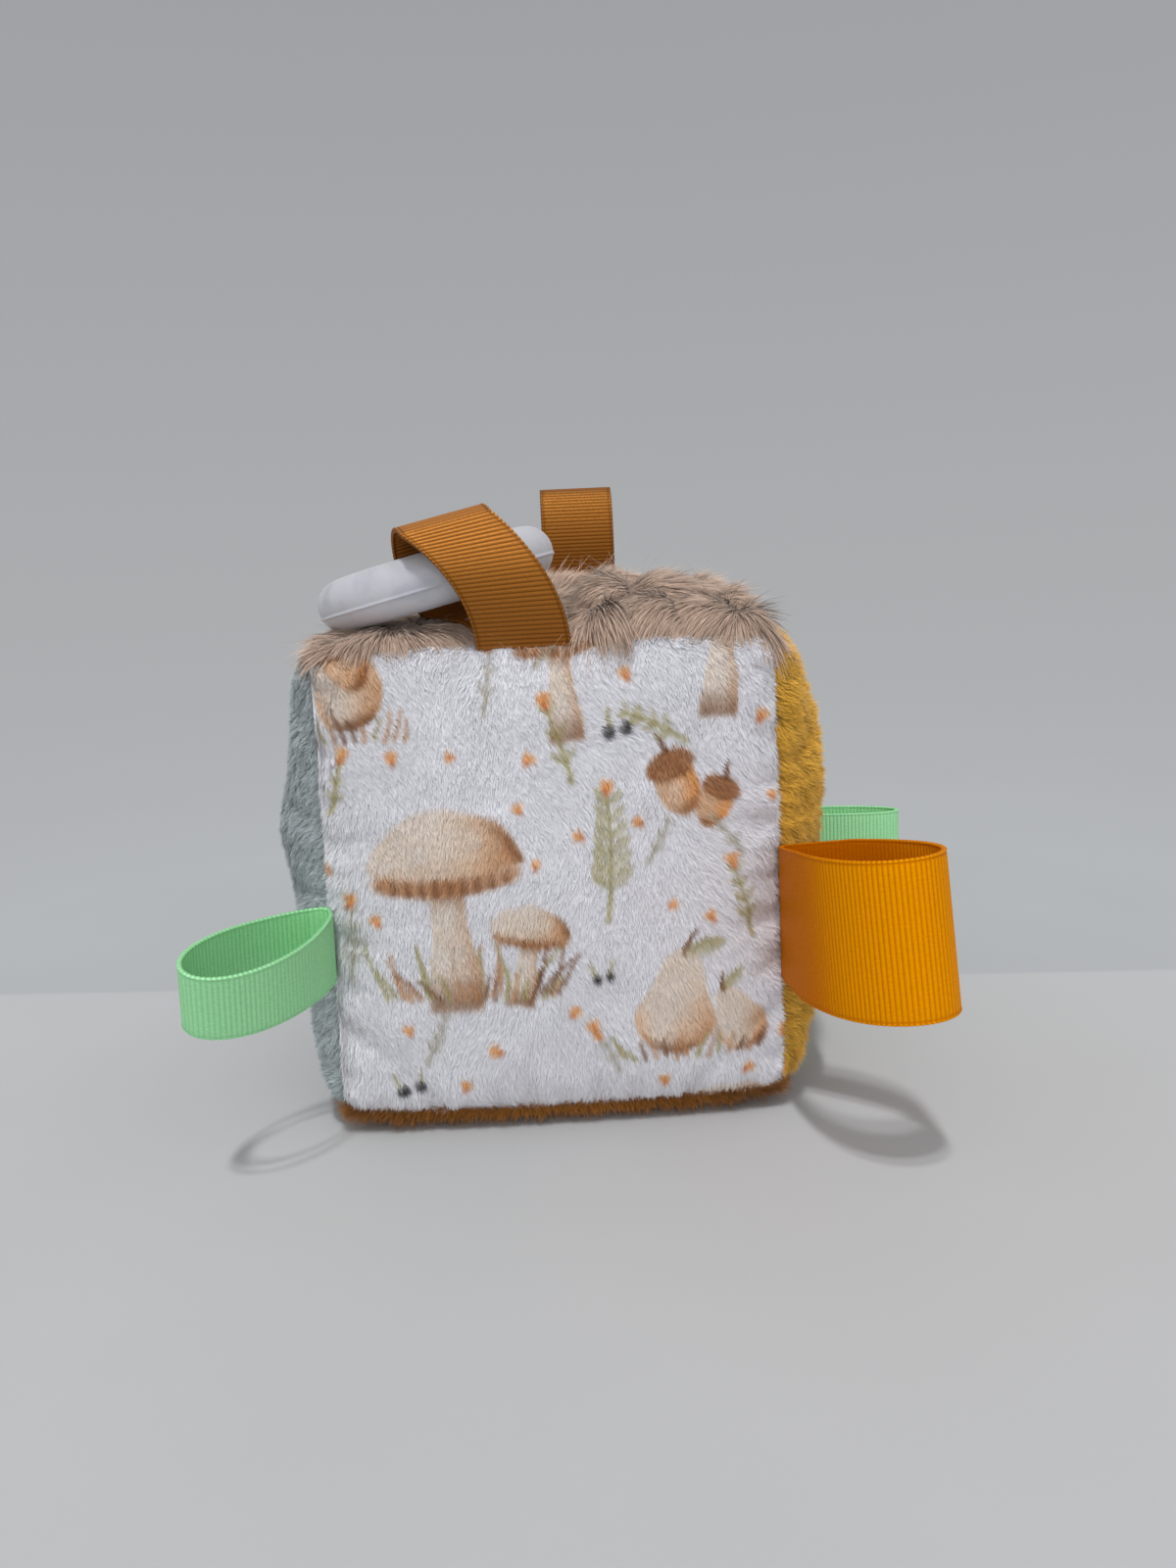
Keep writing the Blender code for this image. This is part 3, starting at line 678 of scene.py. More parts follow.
# what is painted, in order: a motif's place in mm and then the other values of its function
printLayout = (
    (paintGrass, (-19, -21, 19, 22, 13, 3)),
    (paintMushroom, (-23, 5, 16.5, 4, 1), (-6, -9, 8.5, -8, 2)),
    (paintGrass, (-17, -22, 16, 16, 6, 4)),
    (paintPear, (25, -25, 12.0, -9, 5), (38, -30, 8.2, 24, 6)),
    (paintGrass, (28, -38, 16, 14, 6, 7)),
    (paintAcorn, (26, 24, 8.0, 18), (35, 19, 6.4, -24)),
    (paintSprig, (29, 31, 150, 15, 4, "olive")),
    (paintMushroom, (38, 55, 11, -3, 10)),
    (paintPear, (-43, 47, 11, 15, 11)),
    (paintGrass, (-42, 34, 13, 12, 6, 12)),
    (paintMushroom, (3, -62, 10, 5, 13, False)),
    (paintAcorn, (-43, -61, 8, 30)),
    (paintSprig, (11, -6, 82, 27, 6, "olive", "orange"), (4, 24, 100, 15, 3, "olive", "orange"),
     (-13, 38, 75, 12, 3, "grey", "orange"), (42, -12, 98, 16, 4, "olive", "orange"),
     (-45, -18, 80, 17, 4, "grey", "orange"), (-30, -37, 60, 12, 4, "grey"),
     (12, -41, 110, 11, 3, "grey", "orange"), (40, 6, 120, 11, 3, "grey"), (-2, 46, 40, 9, 3, "grey"),
     (-47, 19, 70, 11, 3, "olive", "orange"), (20, 6, 55, 10, 3, "grey"),
     (52, -47, 100, 10, 3, "olive", "orange")),
    (paintBlossom, (-33, 29, 1.9, 10), (-5, 28, 1.7, -30), (17, 43, 1.9, 20), (6, 12, 1.6, 60),
     (-4, 6, 1.4, -10), (45, 34, 1.8, -25), (19, 14, 1.6, 40), (47, 17, 1.5, 0), (-38, -5, 1.7, 30),
     (2, -27, 1.8, -40), (-33, -30, 1.6, 15), (-13, -35, 2.0, 70), (-22, -44, 1.8, -20),
     (8, -33, 1.5, 35), (22, -45, 1.9, 5), (40, -44, 1.8, -50), (33, -8, 1.7, 25), (24, -4, 1.4, -70),
     (-48, 6, 1.7, 45), (-20, 30, 1.4, 80), (-7, 18, 1.5, 12), (52, 4, 1.6, -15)),
    (paintBerries, (-34, -44, 2.0, 10), (14, 33, 1.9, -15), (9, -19, 1.5, 5)),
)


def paintedCloth(x, y):
    # sRGB colours of the print at places given in millimetres
    canvas = {"x": x, "y": y, "grain": layeredNoise(np.stack([x, y], -1), printDesign["grain"], 31),
              "colour": np.broadcast_to(hexColour(printDesign["cloth"]), (*x.shape, 3)).copy()}
    for paint, *motifs in printLayout:
        for motif in motifs:
            paint(canvas, *motif)
    return np.clip(canvas["colour"], 0, 1)


# Lumps of the filling under the skin, in mm

lumpLook = {"broad": 24.0, "broadHeight": 1.1, "small": 8.0, "rim": (0.02, 0.3), "underFur": 0.4}
# single ones under the side panels: place on the panel, radius and height
lumpsUnder = {"left_panel": ((38, 12, 11, 2.2), (30, -22, 12, -1.2), (34, 34, 9, -0.8)),
              "right_panel": ((-36, 24, 11, 1.6), (-36, -8, 10, -1.2), (-38, -28, 10, 1.4))}


# Pile. Short nap on five panels and long fur on the top, all from one tree of nodes

naps = {
    # lengths and widths in mm, hairs for each square mm, lean in degrees from upright, the way
    # that the nap is brushed, across and along the panel, and how far that way wanders. Hairs
    # gather towards the middles of locks, whose size is in mm; stray is how far each one differs.
    # Bumps are the height in mm of the skin's small lumps. Real fibres are about 0.02 mm thick
    # and too fine to show, so hairs are drawn some ten times as wide, and fewer
    "front_panel": {"length": 1.7, "width": 0.24, "perSquare": 15.0, "lean": 54, "brushed": (0.25, -1.0),
                    "swirl": 1.0, "lock": 1.7, "gather": 0.40, "stray": 0.42, "bumps": 0.0,
                    "seed": 1, "cloth": "white", "slot": "white_plush"},
    "rear_panel": {"length": 1.7, "width": 0.26, "perSquare": 12.0, "lean": 54, "brushed": (-0.2, -1.0),
                   "swirl": 1.0, "lock": 1.7, "gather": 0.40, "stray": 0.42, "bumps": 0.0,
                   "seed": 2, "cloth": "white", "slot": "white_plush"},
    "left_panel": {"length": 1.7, "width": 0.25, "perSquare": 13.0, "lean": 50, "brushed": (-0.6, -1.0),
                   "swirl": 0.9, "lock": 2.1, "gather": 0.80, "stray": 0.42, "bumps": 0.3,
                   "seed": 3, "cloth": "greyGreen", "slot": "grey_green_plush"},
    "right_panel": {"length": 2.5, "width": 0.27, "perSquare": 13.0, "lean": 42, "brushed": (0.5, -1.0),
                    "swirl": 1.2, "lock": 3.0, "gather": 1.05, "stray": 0.42, "bumps": 0.8,
                    "seed": 4, "cloth": "mustard", "slot": "mustard_plush"},
    "bottom_panel": {"length": 2.8, "width": 0.24, "perSquare": 10.0, "lean": 50, "brushed": None,
                     "swirl": 0.7, "lock": 2.4, "gather": 0.80, "stray": 0.62, "bumps": 0.0,
                     "seed": 5, "cloth": "brown", "slot": "brown_plush"},
    "top_panel": {"length": 7.4, "width": 0.19, "perSquare": 5.4, "lean": 70, "brushed": None,
                  "swirl": 0.45, "lock": 2.6, "gather": 0.80, "stray": 0.14, "bumps": 0.0,
                  "seed": 6, "cloth": "fur", "slot": "taupe_fur"},
}
pileLook = {
    "panelFill": 0.8,          # how much of a panel's thickness is cloth and pile
    "swirlSize": 17.0,         # mm over which the brushed way wanders
    "leanDiffers": (10, 5.0),  # degrees by which the lean differs, and over how many mm
    "patchLength": (0.88, 0.24),     # least share of its length that a patch of pile has, and span
    "patch": 2,                # mm across such a patch
    "hairLength": (0.7, 1.2),  # least and greatest share of that length which a hair has
    "skinShade": {"short": 0.75, "long": 0.52},     # share of the skin's normal in a hair's own
    "pileFloor": 0.15 * millimetre,  # least height of pile and of skin above the floor
    "skinFloor": 0.6 * millimetre,
    "rimFrom": 0.86,           # where the bottom's pile turns outwards, as a share of the panel
    "rimLonger": 0.45,
}
# tufts of the long fur: place on the top in mm, the way its hairs run in degrees from the right
# towards the rear, radius and height in mm, how far the hairs droop and how long they are
tufts = np.array([
    (-48, -46, 200, 8, 0.6, 0.0, 0.9), (-38, -47, 250, 8, 0.8, 0.4, 0.9), (-27, -48, 310, 8, 1.0, 0.6, 0.9),
    (-15, -48, 330, 7, 0.8, 0.4, 0.8), (-4, -47, 300, 8, 0.0, 0.1, 0.5), (6, -42, 218, 7, 1.6, 0.1, 0.8),
    (13, -48, 292, 8, 2.2, 1.0, 1.45), (24, -45, 228, 8, 1.6, 0.5, 0.8), (36, -44, 214, 8, 1.4, 0.1, 0.8),
    (47, -46, 318, 7, 1.0, 0.8, 1.2), (-46, -30, 178, 10, 0.6, 0.0, 0.9), (-25, -30, 240, 9, 0.0, 0.0, 0.6),
    (-8, -32, 200, 8, 0.0, 0.0, 0.5), (13, -30, 196, 9, 2.8, 0.0, 0.9), (30, -26, 352, 11, 2.4, 0.0, 1.0),
    (45, -28, 350, 9, 2.2, 0.0, 0.9), (-46, -10, 165, 11, 1.0, 0.0, 1.0), (-23, -22, 120, 10, 0.6, 0.0, 0.8),
    (-3, -10, 60, 9, 0.6, 0.0, 0.8), (14, -12, 10, 11, 2.0, 0.0, 1.0), (34, -6, 350, 12, 1.6, 0.0, 1.0),
    (-42, 12, 150, 12, 1.0, 0.0, 1.0), (-18, 12, 100, 12, 1.0, 0.0, 1.0), (4, 10, 60, 11, 1.2, 0.0, 1.0),
    (24, 10, 20, 11, 0.6, 0.0, 1.0), (45, 8, 5, 10, 2.8, -0.1, 1.0), (-40, 34, 135, 12, 0.8, 0.0, 1.0),
    (-16, 36, 95, 12, 0.8, 0.0, 1.0), (8, 32, 70, 11, 0.6, 0.0, 1.0), (28, 30, 40, 11, 0.6, -0.1, 1.0),
    (46, 30, 20, 9, 2.8, -0.3, 1.15), (-44, 47, 140, 8, 0.8, 0.0, 1.0), (26, 47, 60, 9, 0.8, -0.1, 1.0),
    (47, 47, 40, 8, 1.8, -0.4, 1.2)])
furLook = {
    "tuftEdge": 5.0,       # the higher, the sharper the creases between tufts
    "tuftFan": 0.5,        # how far a tuft's hairs spread from its middle
    "tuftRound": 0.55,     # the higher, the steeper a tuft's sides
    "creaseDepth": 1.8,    # mm
    "creaseLean": 12,      # degrees by which hairs lie flatter in a crease
    "leanDiffers": (8, 6.0),
    "hangFrom": (42, 47),  # mm towards the front over which drooping tufts start to hang
    "fallFrom": (44, 50),  # and over which they turn straight down
    "puff": 2.4,           # how far the fur stands above the panel's swell where nothing lies on it, mm
    "puffEdge": 4.5,       # over how many mm it rises from a seam
    "pressed": 0.3,        # share of a tuft's height that is left where something lies on the fur
    "roomRight": (7.5, 15),   # the ring and its ribbon lie left of this and in front of the other,
    "roomBehind": (4, 13),    # in mm from the middle of the top
}
# more of the fur beside its main pile: a second layer of finer hairs and a few long strays
furLayers = {
    "topUnderfur": {"Width": 0.15 * millimetre, "Length": 6.2 * millimetre, "Stray": 0.22, "Seed": 61},
    "topStrays": {"Per Square Metre": 0.10e6, "Width": 0.13 * millimetre, "Length": 11.5 * millimetre,
                  "Stray": 0.60, "Seed": 62},
}


def roomForFur(x, y):
    # 1 where nothing lies on the fur, 0 under the ring and beside its ribbon
    return np.maximum(smoothStep(x, *furLook["roomRight"]), smoothStep(y, *furLook["roomBehind"]))


def tuftField(x, y):
    # the way that hairs run, the fur's height, its creases, droop and length, at places in mm
    away = np.stack([x[..., None] - tufts[:, 0], y[..., None] - tufts[:, 1]], -1)
    reach = (away ** 2).sum(-1) / tufts[:, 3] ** 2
    pull = np.exp(-reach * furLook["tuftEdge"] / 2)
    pull = pull / pull.sum(-1, keepdims=True)
    angle = np.radians(tufts[:, 2])
    way = np.stack([np.cos(angle), np.sin(angle)], -1)
    fan = way + furLook["tuftFan"] * away / tufts[:, 3][:, None]
    flow = (pull[..., None] * fan).sum(-2)
    height = (pull * tufts[:, 4] * np.exp(-reach * furLook["tuftRound"])).sum(-1)
    crease = 1 - smoothStep(pull.max(-1), 0.45, 0.95)
    return unit(flow), height, crease, (pull * tufts[:, 5]).sum(-1), (pull * tufts[:, 6]).sum(-1)


def lockPull(x, y, size, seed):
    # from each place towards the middle of its lock of hairs, in mm
    where = np.stack([x, y], -1) / size
    base = np.floor(where)
    nearest, pull = np.full(x.shape, 9.0), np.zeros((*x.shape, 2))
    for step in np.ndindex(3, 3):
        cell = base + np.array(step) - 1
        middle = cell + 0.15 + 0.7 * np.stack([cellValue(cell, seed), cellValue(cell, seed + 1)], -1)
        away = middle - where
        far = np.hypot(away[..., 0], away[..., 1])
        pull = np.where((far < nearest)[..., None], away, pull)
        nearest = np.minimum(far, nearest)
    return pull * size


def bladeShape(name, levels):
    # one hair of unit length and width: it stands along Z and its tip bends towards X
    bend, tipHeight = 0.32, 0.97
    points, along = [], []
    for k in range(levels):
        share = k / levels
        half = 0.5 * (1 - 0.5 * share)
        points += [(bend * share ** 2, -half, share), (bend * share ** 2, half, share)]
        along += [share, share]
    points.append((bend, 0.0, tipHeight))
    along.append(1.0)
    faces = [(2 * k, 2 * k + 2, 2 * k + 3, 2 * k + 1) for k in range(levels - 1)]
    last = 2 * levels
    faces.append((last - 2, last, last - 1))
    made = meshObject(name, points, faces)
    storeAttribute(made, "alongBlade", along, "FLOAT")
    return made


def makePileTree():
    tree, given = newGeometryTree("plushPile", (
        ("Blade", "Object"), ("Material", "Material"), ("Per Square Metre", "Float"), ("Length", "Float"),
        ("Width", "Float"), ("Stray", "Float"), ("Seed", "Int")))
    stands, brushed, share = (
        addNode(tree, "GeometryNodeInputNamedAttribute", {"Name": name}, "Attribute", data_type=kind)
        for name, kind in (("bladeAxis", "FLOAT_VECTOR"), ("brushed", "FLOAT_VECTOR"),
                           ("lengthShare", "FLOAT")))
    roots = addNode(tree, "GeometryNodeDistributePointsOnFaces",
                    {"Mesh": given["Geometry"], "Density": given["Per Square Metre"],
                     "Seed": given["Seed"]}, "Points")
    # each hair differs by chance in its lean, its length and its shade
    lengthSeed, shadeSeed = (addNode(tree, "ShaderNodeMath", {0: given["Seed"], 1: more}, 0, operation="ADD")
                             for more in (17.0, 29.0))
    chance = addNode(tree, "FunctionNodeRandomValue", {"Min": (-1, -1, -1), "Seed": given["Seed"]}, 0,
                     data_type="FLOAT_VECTOR")
    stray = addNode(tree, "ShaderNodeVectorMath", {0: chance, "Scale": given["Stray"]}, 0,
                    operation="SCALE")
    leaning = addNode(tree, "ShaderNodeVectorMath", {0: stands, 1: stray}, 0, operation="ADD")
    turned = addNode(tree, "FunctionNodeAxesToRotation",
                     {"Primary Axis": leaning, "Secondary Axis": brushed}, 0,
                     primary_axis="Z", secondary_axis="X")
    shortest, longest = pileLook["hairLength"]
    tall = addNode(tree, "FunctionNodeRandomValue", {2: shortest, 3: longest, "Seed": lengthSeed}, 1,
                   data_type="FLOAT")
    local = addNode(tree, "ShaderNodeMath", {0: given["Length"], 1: share}, 0, operation="MULTIPLY")
    long = addNode(tree, "ShaderNodeMath", {0: local, 1: tall}, 0, operation="MULTIPLY")
    size = addNode(tree, "ShaderNodeCombineXYZ", {"X": long, "Y": given["Width"], "Z": long}, 0)
    shape = addNode(tree, "GeometryNodeObjectInfo", {"Object": given["Blade"]}, "Geometry")
    hairs = addNode(tree, "GeometryNodeInstanceOnPoints",
                    {"Points": roots, "Instance": shape, "Rotation": turned, "Scale": size}, 0)
    shade = addNode(tree, "FunctionNodeRandomValue", {"Seed": shadeSeed}, 1, data_type="FLOAT")
    marked = addNode(tree, "GeometryNodeStoreNamedAttribute",
                     {"Geometry": hairs, "Name": "bladeShade", "Value": shade}, 0,
                     data_type="FLOAT", domain="INSTANCE")
    return endTree(tree, marked, given["Material"])


def napDirections(name, points, normals, x, y):
    # the way that the pile runs at each place of a panel, and the way that its hairs stand
    nap = naps[name]
    fur = name == "top_panel"
    differs, over = (furLook if fur else pileLook)["leanDiffers"]
    acrossWay = unit(np.gradient(points, axis=0))
    alongWay = unit(np.cross(normals, acrossWay))
    where = np.stack([x, y], -1)
    turn = nap["swirl"] * layeredNoise(where, pileLook["swirlSize"], nap["seed"] + 40, 2)
    uneven = differs * layeredNoise(where, over, 77 if fur else nap["seed"] + 60, 2)
    droop = 0.0
    if fur:
        flow, _, crease, droop, _ = tuftField(x, y)
        a, b = flow[..., 0], flow[..., 1]
        lean = nap["lean"] + furLook["creaseLean"] * crease + uneven
        # tufts at the front edge hang down over the front panel
        hang = (np.clip(droop, 0, 1) * smoothStep(-y, *furLook["hangFrom"]))[..., None]
        fall = smoothStep(-y, *furLook["fallFrom"])[..., None]
        hanging = unit(right * a[..., None] * 0.6 - rear * (1.0 - 0.45 * fall) - up * (0.1 + 0.8 * fall))
        droop = np.minimum(droop, 0)
    else:
        # with no way of its own the pile spreads outwards from the panel's middle
        a, b = np.array(nap["brushed"]) / math.hypot(*nap["brushed"]) if nap["brushed"] \
            else (x / np.hypot(x, y).clip(1), y / np.hypot(x, y).clip(1))
        lean = nap["lean"] + uneven
    lean = np.radians(lean)
    c, s = np.cos(turn), np.sin(turn)
    flow = acrossWay * (a * c - b * s)[..., None] + alongWay * (a * s + b * c)[..., None]
    pull = lockPull(x, y, nap["lock"], nap["seed"] + 90) * nap["gather"] / nap["length"]
    axis = normals * np.cos(lean)[..., None] + flow * np.sin(lean)[..., None] \
        + acrossWay * pull[..., :1] + alongWay * pull[..., 1:] - up * np.expand_dims(droop, -1)
    if fur:
        axis = unit(axis) * (1 - hang) + (hanging + acrossWay * pull[..., :1]) * hang
        flow = flow * (1 - hang) - up * hang
    return unit(flow), unit(axis)


def softenNormals(made, blend):
    # hairs are shaded partly as the cloth below them, so that they read as one soft surface
    mesh = made.data
    skin, own = unit(vectorsFrom(mesh.attributes["skinNormal"].data)), vectorsFrom(mesh.vertex_normals)
    own = own * np.where((own * skin).sum(-1, keepdims=True) < 0, -1, 1)
    kept = unit(skin * blend + own * (1 - blend))
    mesh.normals_split_custom_set_from_vertices(kept)
    storeAttribute(made, "pileNormal", kept)
    dropAttributes(made, ("skinNormal", "brushed", "bladeAxis", "lengthShare"))


def keepAboveFloor(made, least):
    coordinates = vectorsFrom(made.data.vertices, "co")
    coordinates[:, 2] = np.maximum(coordinates[:, 2], least)
    made.data.vertices.foreach_set("co", coordinates.ravel())


def onBlock(piece):
    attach(piece, "block")


def lumpHeights(name, u, v, x, y):
    # how far a panel's skin is raised by lumps of filling, and on top by tufts, in mm
    where = np.stack([x, y], -1)
    nap = naps[name]
    window = smoothStep(1 - np.maximum(np.abs(u), np.abs(v)), *lumpLook["rim"])
    lumps = layeredNoise(where, lumpLook["broad"], nap["seed"] + 80, 3) * lumpLook["broadHeight"] * window
    lumps += layeredNoise(where, lumpLook["small"], nap["seed"] + 110, 2) * nap["bumps"] * window
    for lumpX, lumpY, size, high in lumpsUnder.get(name, ()):
        lumps += high * window * np.exp(-((x - lumpX) ** 2 + (y - lumpY) ** 2) / size ** 2)
    if name == "top_panel":
        _, height, crease, *_ = tuftField(x, y)
        room = roomForFur(x, y)
        kept = furLook["pressed"] + (1 - furLook["pressed"]) * room
        halfWidth = block["halfSize"][0] / millimetre
        edge = np.prod([1 - np.exp(-((1 - np.abs(w)) * halfWidth / furLook["puffEdge"]) ** 2)
                        for w in (u, v)], axis=0)
        lumps = lumps * lumpLook["underFur"] * room \
            + edge * (room * furLook["puff"] + height * kept - furLook["creaseDepth"] * crease * kept)
    return lumps


def pileField(name, points, normals, u, v, x, y):
    # the way that a panel's pile runs, the way that its hairs stand, their normals and length
    flow, axis = napDirections(name, points, normals, x, y)
    reach = tuftField(x, y)[4] if name == "top_panel" else np.ones(x.shape)
    if name == "bottom_panel":
        # the bottom's edge is puffed out under the other panels, and its pile faces outwards there
        rim = smoothStep(np.maximum(np.abs(u), np.abs(v)), pileLook["rimFrom"], 1.0)[..., None]
        outwards = unit(points * (right + rear) + 1e-9)
        normals = unit(normals * (1 - rim) + (outwards + up * 0.25) * rim)
        axis = unit(axis * (1 - rim) + (outwards - up * 0.4 + (axis - normals) * 0.3) * rim)
        reach = reach + pileLook["rimLonger"] * rim[..., 0]
    least, span = pileLook["patchLength"]
    patches = np.stack([x // pileLook["patch"], y // pileLook["patch"]], -1)
    return flow, axis, normals, reach * (least + span * cellValue(patches, naps[name]["seed"]))


def storePrint(made, colour):
    # on a mesh's first points; any after them are the panel's hidden back and take a corner's
    whole = np.tile(colour[:1], (len(made.data.vertices), 1))
    whole[:len(colour)] = colour
    storeAttribute(made, "printColour", whole, "FLOAT_COLOR")


def makePanel(name, puffed, tree, blades):
    panel, nap = panels[name], naps[name]
    kind = "long" if name == "top_panel" else "short"
    ways = panelWays(panel, block["simSteps"] * panel["detail"])
    u, v = ways @ panel["across"], ways @ panel["along"]
    x, y = (w * (block["halfSize"] @ np.abs(panel[way])) / millimetre
            for w, way in ((u, "across"), (v, "along")))
    points = drawSeams(refined(puffed, panel["detail"]), ways)
    raised = (lumpHeights(name, u, v, x, y) * millimetre)[..., None]
    points = points + gridNormals(points) * raised + block["centre"]
    normals = gridNormals(points)
    skin = closedPanel(name, points, normals, materials[nap["cloth"]])
    storeAttribute(skin, "pileNormal", vectorsFrom(skin.data.vertex_normals))
    base = meshObject(name + "Base", points.reshape(-1, 3), gridFaces(numbered(*x.shape)))
    if nap["cloth"] == "white":
        shift = printDesign["rearShift"] if name == "rear_panel" else (0.0, 0.0)
        colour = linearArray(paintedCloth(x + shift[0], y + shift[1])).reshape(-1, 3)
        colour = np.concatenate([colour, np.ones((x.size, 1))], -1)
        storePrint(base, colour)
        storePrint(skin, colour)
    flow, axis, pileNormals, reach = pileField(name, points, normals, u, v, x, y)
    storeAttribute(base, "brushed", flow)
    storeAttribute(base, "bladeAxis", axis)
    storeAttribute(base, "skinNormal", pileNormals)
    storeAttribute(base, "lengthShare", reach, "FLOAT")
    values = {"Blade": blades[kind], "Material": materials[nap["cloth"]],
              "Per Square Metre": nap["perSquare"] * 1e6, "Length": nap["length"] * millimetre,
              "Width": nap["width"] * millimetre, "Stray": nap["stray"], "Seed": nap["seed"]}
    layers = {name.replace("_panel", "Pile"): {}, **(furLayers if kind == "long" else {})}
    piles = [bakedByNodes(base, tree, {**values, **changes}, layer) for layer, changes in layers.items()]
    bpy.data.objects.remove(base)
    for pile in piles:
        softenNormals(pile, pileLook["skinShade"][kind])
        keepAboveFloor(pile, pileLook["pileFloor"])
        onBlock(pile)
        print(pile.name, "made:", len(pile.data.polygons), "faces")
    keepAboveFloor(skin, pileLook["skinFloor"])
    onBlock(skin)
    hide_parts(name)


def makePanels():
    puffed = puffedBlock()
    tree = makePileTree()
    blades = {"short": bladeShape("shortBlade", 1), "long": bladeShape("longBlade", 2)}
    for name in panels:
        makePanel(name, puffed[name], tree, blades)
    for blade in blades.values():
        bpy.data.objects.remove(blade)


makePanels()


# The filling, a lumpy pillow of polyester fibre inside the seam allowances

filling = {"steps": 24, "edge": 0.814, "rise": (0.0050, 0.0050, 0.0054), "cornerDraw": 0.05,
           "lump": 0.0006, "lumpSize": 0.02, "fill": 0.6}


def fillingPoints(panel, ways):
    u, v = np.abs(ways @ panel["across"]), np.abs(ways @ panel["along"])
    full = (1 - u ** 6) * (1 - v ** 6) * (np.abs(panel["facing"]) @ np.array(filling["rise"]))
    swollen = (1 - u ** 2.2) * (1 - v ** 2.2) * panel["crown"]
    corner = 1 - filling["cornerDraw"] * (u * v)[..., None] ** 8
    points = ways * block["halfSize"] * filling["edge"] * corner
    points = points + panel["facing"] * (full + swollen)[..., None]
    return points + unit(ways) * (layeredNoise(points, filling["lumpSize"], 9) * filling["lump"])[..., None]


def makeFilling():
    points, faces, _ = weldedSkin(filling["steps"], fillingPoints)
    piece = meshObject("fibreFilling", points + block["centre"], faces, materials["wadding"])
    onBlock(piece)
    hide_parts("stuffing")
    print("filling made")


makeFilling()


# Ribbon loops. Each runs from its seam round a drop-shaped outline and back to the seam

hemRadius = 0.5 * millimetre
clothGap = 0.3 * millimetre
cadRibbon = 0.8 * millimetre
seamDraw = 1.2 * millimetre
ribbonLook = {
    "thick": 0.62 * millimetre,       # between the valleys of its two faces
    "edgeDraw": 0.12 * millimetre,    # how far its faces stop short of its side edges
    "ribPitch": 1.02 * millimetre,
    "ribHeight": 0.14 * millimetre,
    "ribRound": 2.4,                  # the higher, the squarer a rib
    "scallop": 0.12 * millimetre,     # how far the woven edge steps in between ribs
    "edgePlaces": (0.0, 0.24, 0.50, 0.80, 1.15),     # columns from the edge inwards, mm
    "edgeRibs": (0.6, 1.3, 0.10, 0.5, 1.0),          # height of the ribs at those places
    "edgeBead": (0.0, 0.05, -0.02, 0.03, 0.0),       # and of the plain woven edge, mm
    "bendFrom": (0.45, 0.80),         # over which part of the loop's length the ribs open
    "flatRibs": 0.4,                  # a closed rib's share of the height, to which its opening adds
    # the ribs' colour is a painted highlight on their tops and painted shade in their valleys
    "edgeHighlight": 0.3,                 # least share of a rib's colour on the edges
    "samplesPerRib": 8,
    "bodyColumns": 8,
    "blendReach": 4 * millimetre,     # of a loop's bend, outwards from its seam
}
# the ribs' opening is how far a loop's ribs stand open beside the seam and round its bend, and how
# strongly their painted highlight and shade show there; full and belly make its outline, gather
# draws its width together at the seam, lift raises its far end
loops = {
    "left_loop": {"slot": "mint_ribbon", "cloth": "mintRibbon", "body": "left_ribbon",
                  "width": 0.015, "length": 0.0385, "full": 0.0081, "belly": 0.35,
                  "corners": (-right, -rear), "height": 0.0450, "side": -right, "forward": 53.7,
                  "raise": -12.0, "roll": -16.5, "gather": 1.05, "lift": 0.0059,
                  "ribOpen": (0.40, 0.70)},
    "right_loop": {"slot": "orange_ribbon", "cloth": "orangeRibbon", "body": "right_ribbon",
                   "width": 0.032, "length": 0.0471, "full": 0.0104, "belly": 1.12,
                   "corners": (right, -rear), "height": 0.0462, "side": right, "forward": 63.5,
                   "raise": 5.8, "roll": 1.8, "gather": 0.93, "lift": 0.0,
                   "ribOpen": (0.10, 0.90)},
    "rear_right_loop": {"slot": "mint_ribbon", "cloth": "mintRibbon", "body": "rear_ribbon",
                        "width": 0.015, "length": 0.0510, "full": 0.0055, "belly": 1.0,
                        "corners": (right, rear), "height": 0.0427, "side": right, "forward": 12.0,
                        "raise": 0.0, "roll": 0.0, "gather": 1.0, "lift": 0.0,
                        "ribOpen": (0.50, 0.80)},
    "rear_top_loop": {"slot": "brown_ribbon", "cloth": "brownRibbon", "body": "top_ribbon",
                      "width": 0.020, "length": 0.0380, "full": 0.0065, "belly": 1.0,
                      "corners": (rear, up), "across": 0.0120, "lean": 4.0, "roll": 0.0,
                      "gather": 1.0, "lift": 0.0, "ribOpen": (0.25, 0.45)},
}
dropSteps = {"start": 0.16, "outline": 64, "hem": 6, "gatherOver": 0.35}


def turnedAbout(vector, axis, angle):
    return np.array(Matrix.Rotation(angle, 3, Vector(axis)) @ Vector(vector))


def seamSeat(cornerOne, cornerTwo):
    # where a ribbon's fold lies in the valley of a seam
    outward = unit(cornerOne + cornerTwo)
    valley = (cornerOne + cornerTwo) * block["halfSize"]
    valley = valley * (1 - seamDraw / (block["halfSize"] @ np.abs(cornerOne)))
    return block["centre"] + valley + outward * (hemRadius + cadRibbon / 2 + clothGap)


def loopAxes(loop):
    # the middle of a loop's hem, the way it stands out and the line of its seam
    seat = seamSeat(*loop["corners"])
    if "across" in loop:
        return seat + right * loop["across"], turnedAbout(up, right, -math.radians(loop["lean"])), right
    seat[2] = loop["height"]
    forward, rise = math.radians(loop["forward"]), math.radians(loop["raise"])
    outward = loop["side"] * math.cos(forward) * math.cos(rise) \
        - rear * math.sin(forward) * math.cos(rise) + up * math.sin(rise)
    return seat, outward, up


